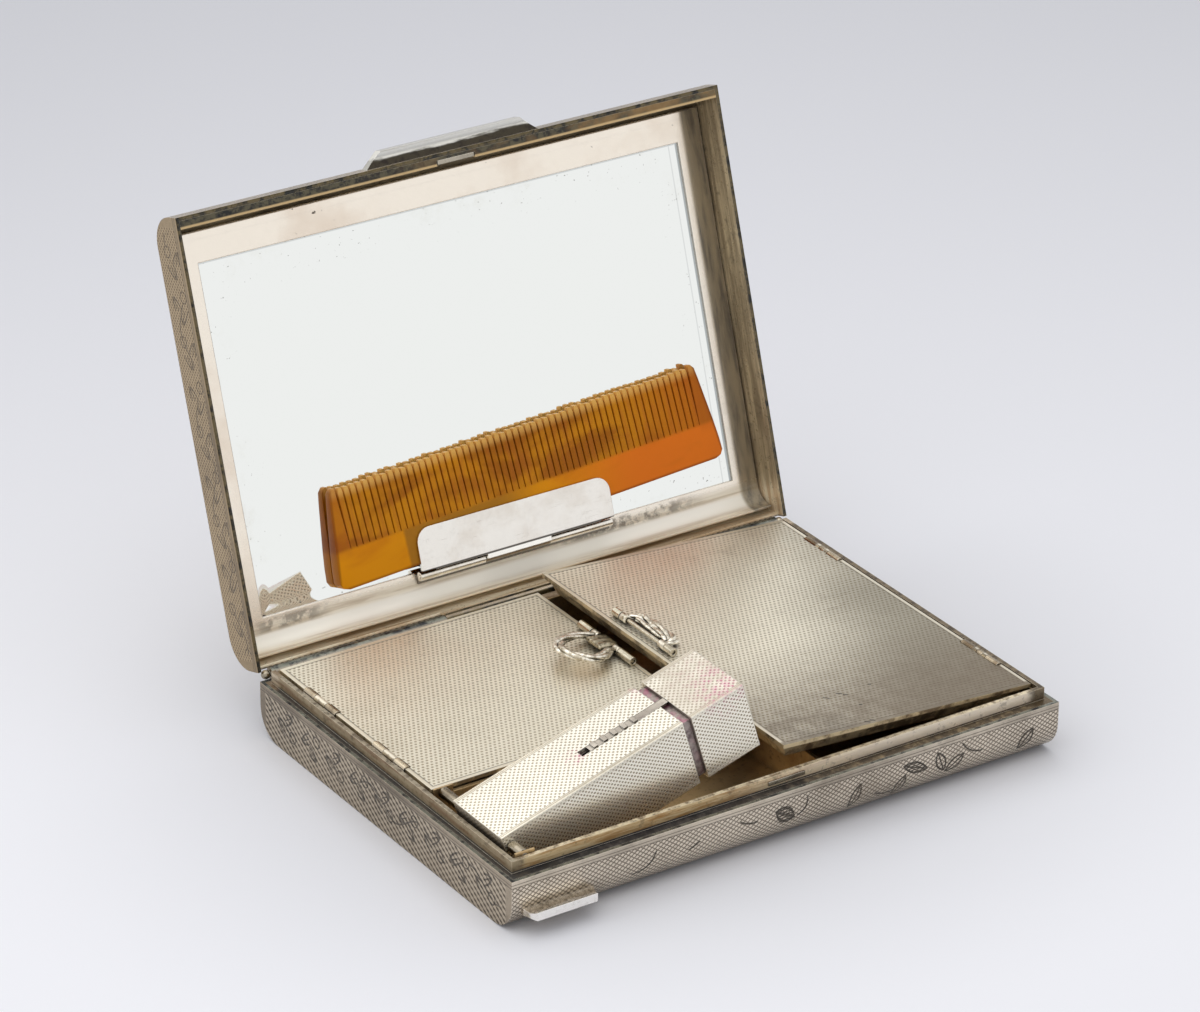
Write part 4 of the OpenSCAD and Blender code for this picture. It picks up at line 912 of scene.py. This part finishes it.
RIGHT_Y = (3.4, 16.1)
RIGHT_BAIL = [(0.25, 1), (0.85, 0.93), (1, 0.7), (0.96, 0.3), (0.8, 0.06), (0.25, 0)]
bm = bmesh.new()
points = [Vector((RIGHT_PIN_X + 3.4 * a, RIGHT_Y[0] + b * 12.7, PIN_Z)) for a, b in RIGHT_BAIL]
path = smooth_path(points, 9)
twig(bm, path, 1.05, 3, 1.4, 9)
inner = [(4.75, RIGHT_Y[0] + 1.3, 14.4), (4.95, 7.0, 14.45), (5.0, 11.0, 14.45), (4.7, 14.9, 14.4)]
twig(bm, smooth_path([Vector(p) for p in inner], 9), 0.8, 2, 0.8, 5)
flatten(bm, 0.66)
for y in RIGHT_Y:
    collar(bm, RIGHT_PIN_X, y)
leaf(bm, path[16] + Vector((0, 0, 0.25)), path[26] + Vector((0, 0, 0.2)), 0.8)
bm.transform(turned_back("right"))
right_bail = new_piece("cast_right_bail", bm, cast)
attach(right_bail, "right_pull")
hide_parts("right_pull_bail")

# Root of the left pull: a small cast block, rounded, with three chased grooves
bm = bmesh.new()
nx, ny = 14, 22


def root_point(i, j, upper):
    """Point of the block's upper or lower skin: i counts to the left, j to the back."""
    s, t = i / nx, j / ny
    y0, y1 = 13.3, 18.3
    x = -0.25 - 4.05 * s
    y = y0 + (y1 - y0) * t
    cross = abs(2 * t - 1)
    h = 0.82 * (1 - s ** 3 * 0.55) * (1 - cross ** 6 * 0.45)
    groove = 0.1 * (0.5 + 0.5 * math.cos(2 * math.pi * 3 * t)) if upper else 0.0
    return Vector((x, y, PIN_Z + (h - groove if upper else -h)))


grid = {u: [[bm.verts.new(root_point(i, j, u)) for j in range(ny + 1)] for i in range(nx + 1)]
        for u in (True, False)}
for skin in grid.values():
    for i in range(nx):
        for j in range(ny):
            bm.faces.new((skin[i][j], skin[i + 1][j], skin[i + 1][j + 1], skin[i][j + 1]))
border = ([(i, 0) for i in range(nx)] + [(nx, j) for j in range(ny)]
          + [(i, ny) for i in range(nx, 0, -1)] + [(0, j) for j in range(ny, 0, -1)])
for (a, b), (c, d) in zip(border, border[1:] + border[:1]):
    bm.faces.new((grid[True][a][b], grid[True][c][d], grid[False][c][d], grid[False][a][b]))
bm.transform(turned_back("loop"))
dull_cast = cast_material("tarnished_cast_silver", (196, 186, 162), (96, 86, 70))
root = new_piece("cast_left_root", bm, dull_cast)
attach(root, "left_pull_axle")
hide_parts("left_pull_root")


# Comb: a body with rounded edges and guards, and separate tapered teeth
def thickness(v):
    """Half the comb's thickness at v from its back edge."""
    return THICK / 2 * (1 - 0.45 * max(0.0, (v - SPINE) / (H - SPINE)))


def place(u, v, z):
    """Point at u along the comb from its middle and v from its back edge towards the tips."""
    c, s = math.cos(-COMB_TILT), math.sin(-COMB_TILT)
    return Vector((COMB_X + u * c + v * s, COMB_Y + u * s - v * c, z))


# Columns of the comb from left to right: guards and teeth reach the tips, gaps stop at the spine
rng = random.Random(3)
bounds_u, tall, reach = [-L / 2], [], []
for i in range(TEETH + 2):
    if i == 0:
        u0, u1 = -L / 2, -L / 2 + MARGIN
    elif i == TEETH + 1:
        u0, u1 = L / 2 - MARGIN, L / 2
    else:
        mid = -L / 2 + MARGIN + PITCH * (i - 0.5)
        u0, u1 = mid - HALF_TOOTH, mid + HALF_TOOTH
    if i:
        bounds_u.append(u0)
        tall.append(False)
        reach.append(0)
    bounds_u.append(u1)
    tall.append(True)
    reach.append(H - (0.02 if i in (0, TEETH + 1) else 0.15 + rng.uniform(0.0, 0.45)))
body_rows = [0.0, 0.45, 1.4, 4.0, SPINE]
tooth_rows = [0.25, 0.5, 0.75, 0.93, 1.0]
bm = bmesh.new()
layers = {}


def comb_vert(key, u, v, top):
    key = (*key, top)
    if key not in layers:
        layers[key] = bm.verts.new(place(u, v, Z_MID + (1 if top else -1) * thickness(v)))
    return layers[key]


def outermost(c, left):
    """Whether a column's left or right side is the comb's own end."""
    return c == (0 if left else len(tall) - 1)


def shaped(c, v, left):
    """Place along the comb of a column's left or right side at v, with its taper and rounding."""
    u = bounds_u[c] if left else bounds_u[c + 1]
    t = max(0.0, (v - SPINE) / (H - SPINE))
    inward = 1 if left else -1
    if outermost(c, left):
        corner = CORNER * (1 - math.sqrt(max(0.0, 1 - (1 - min(1.0, v / CORNER)) ** 2)))
        return u + inward * (TAPER * v / H + corner + (1.5 * max(0.0, t - 0.9) / 0.1) ** 2 * 0.3)
    if c in (0, len(tall) - 1):
        return u + inward * 0.35 * t
    return u + inward * HALF_TOOTH * (0.1 * t + 0.5 * max(0.0, (t - 0.9) / 0.1) ** 2)


def body_point(c, row, v, left):
    """Key, u and v of a corner of the comb's body, where only its two ends are shaped."""
    u = shaped(c, v, left) if outermost(c, left) else bounds_u[c if left else c + 1]
    return ("b", c if left else c + 1, row), u, v


def comb_face(keys):
    for top in (True, False):
        q = [comb_vert(k, u, v, top) for k, u, v in keys]
        bm.faces.new(q if top else q[::-1])


for c in range(len(tall)):
    last = len(body_rows) - 1
    for a in range(last):
        v0, v1 = body_rows[a], body_rows[a + 1]
        comb_face([body_point(c, a, v0, True), body_point(c, a, v0, False),
                   body_point(c, a + 1, v1, False), body_point(c, a + 1, v1, True)])
    if not tall[c]:
        continue
    lower = [body_point(c, last, SPINE, True), body_point(c, last, SPINE, False)]
    for k, f in enumerate(tooth_rows):
        v = SPINE + (reach[c] - SPINE) * f
        upper = [(("t", c, k, 0), shaped(c, v, True), v), (("t", c, k, 1), shaped(c, v, False), v)]
        comb_face([lower[0], lower[1], upper[1], upper[0]])
        lower = upper
pairs = {}
for key, vert in list(layers.items()):
    pairs.setdefault(key[:-1], {})[key[-1]] = vert
twin = {d[True]: d[False] for d in pairs.values()}
rim_edges = [e for e in bm.edges if e.is_boundary and all(v in twin for v in e.verts)]
for e in rim_edges:
    a, b = e.verts
    bm.faces.new((a, b, twin[b], twin[a]))
bmesh.ops.recalc_face_normals(bm, faces=bm.faces)
sharp = [e for e in bm.edges if len(e.link_faces) == 2 and e.calc_face_angle(0) > 0.6]
bmesh.ops.bevel(bm, geom=sharp, offset=0.17, segments=3, profile=0.5, affect="EDGES",
                clamp_overlap=True)
bm.transform(turned_back("lid"))
comb = new_piece("amber_comb", bm, amber_material())
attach(comb, "comb")
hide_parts("comb")

# Floor: pale and brighter in front, with painted shade towards the back, the left and the near
# right, and a painted shadow close round the case
m = Material("studio_floor")
s = m.add(m.mul(m.x, 0.557), m.mul(m.y, 0.830))       # towards the back of the picture
t = m.add(m.mul(m.x, 0.830), m.mul(m.y, -0.557))      # towards its right
# Painted shade: the floor darkens towards the back of the picture
far = m.step(s, -160.0, 700.0)
m.colour = m.mix(far, (0.93, 0.937, 0.98), (0.54, 0.547, 0.585))
# Painted shade towards the left
left = m.mul(m.step(t, 40.0, -420.0), m.step(s, -80.0, 360.0), 0.5)
m.lay((0.46, 0.467, 0.50), left)
# Painted shade at the near right
near_right = m.mul(m.step(t, 120.0, 360.0), m.step(s, 60.0, -160.0), 0.95)
m.lay((0.58, 0.587, 0.622), near_right)
# Painted contact shadow: the floor is darker close round the case
close = m.step(m.vec("LENGTH", m.join(m.mul(m.x, 0.8), m.y, 0.0)), 110.0, 40.0)
m.lay((0.62, 0.625, 0.66), close, 0.42)
m.lay((0.8, 0.8, 0.84), m.noise(0.004, 2.0, 0.55), 0.04)
m.finish(0.7, 0.0, Specular_IOR_Level=0.1)
bm = bmesh.new()
bmesh.ops.create_grid(bm, x_segments=2, y_segments=2, size=6.0)
bmesh.ops.translate(bm, verts=bm.verts, vec=(0, 0, -0.00005))
floor = new_piece("floor", bm, m.mat, smooth=False)

# Lights: a pale studio all round and one broad soft lamp overhead
world = bpy.data.worlds.new("studio")
bpy.context.scene.world = world
sky = Nodes(world)
# Seen directly or mirrored, the world is a pale ramp in height. Else it lights the scene evenly.
ray = sky.node("LightPath")
mirrored = sky.node("Math", {0: ray["Is Glossy Ray"], 1: ray["Is Transmission Ray"]},
                    operation="MAXIMUM")
seen = sky.node("Math", {0: ray["Is Camera Ray"], 1: mirrored[0]}, operation="MAXIMUM")
towards = sky.node("SeparateXYZ", {0: sky.node("TexCoord")["Generated"]})
ramp = sky.node("MapRange", {0: towards[2], 1: 0.15, 2: 0.95, 3: 0.97, 4: 0.86})
grey = sky.node("CombineXYZ", {0: ramp[0], 1: ramp[0], 2: ramp[0]})
shade = sky.node("Mix", {"Factor": seen[0], 6: (0.58, 0.585, 0.60), 7: grey[0]}, data_type="RGBA")
background = sky.node("Background", {0: shade[2], 1: 1.0})
sky.node("OutputWorld", {0: background[0]})

lamp = bpy.data.lights.new("softbox", "AREA")
lamp.shape = "DISK"
lamp.size = 2.8
lamp.energy = 16.0
lamp.color = (1.0, 0.985, 0.96)
lamp_obj = bpy.data.objects.new("softbox", lamp)
lamp_obj.location = (-0.35, 0.25, 1.45)
lamp_obj.rotation_mode = "QUATERNION"
lamp_obj.rotation_quaternion = (-Vector(lamp_obj.location)).to_track_quat("-Z", "Y")
bpy.context.scene.collection.objects.link(lamp_obj)

# Camera, fitted to the photograph
az, el, roll = -0.591106359, 0.466509606, 0.0101087435
back = Vector((math.sin(az) * math.cos(el), -math.cos(az) * math.cos(el), math.sin(el)))
right = Vector((math.cos(az), math.sin(az), 0))
up = back.cross(right)
r2 = right * math.cos(roll) + up * math.sin(roll)
u2 = up * math.cos(roll) - right * math.sin(roll)
cam = bpy.data.cameras.new("camera")
cam.sensor_fit = "HORIZONTAL"
cam.sensor_width = 36
cam.lens = 158.11
cam.clip_start, cam.clip_end = 0.01, 100
cam_obj = bpy.data.objects.new("camera", cam)
aim, distance = Vector((-0.013476, 0, 0.052911)), 0.94842
turn = Matrix((r2, u2, back)).transposed().to_4x4()
cam_obj.matrix_world = Matrix.Translation(aim + back * distance) @ turn
bpy.context.scene.collection.objects.link(cam_obj)
bpy.context.scene.camera = cam_obj
bpy.context.scene.view_settings.view_transform = "Standard"
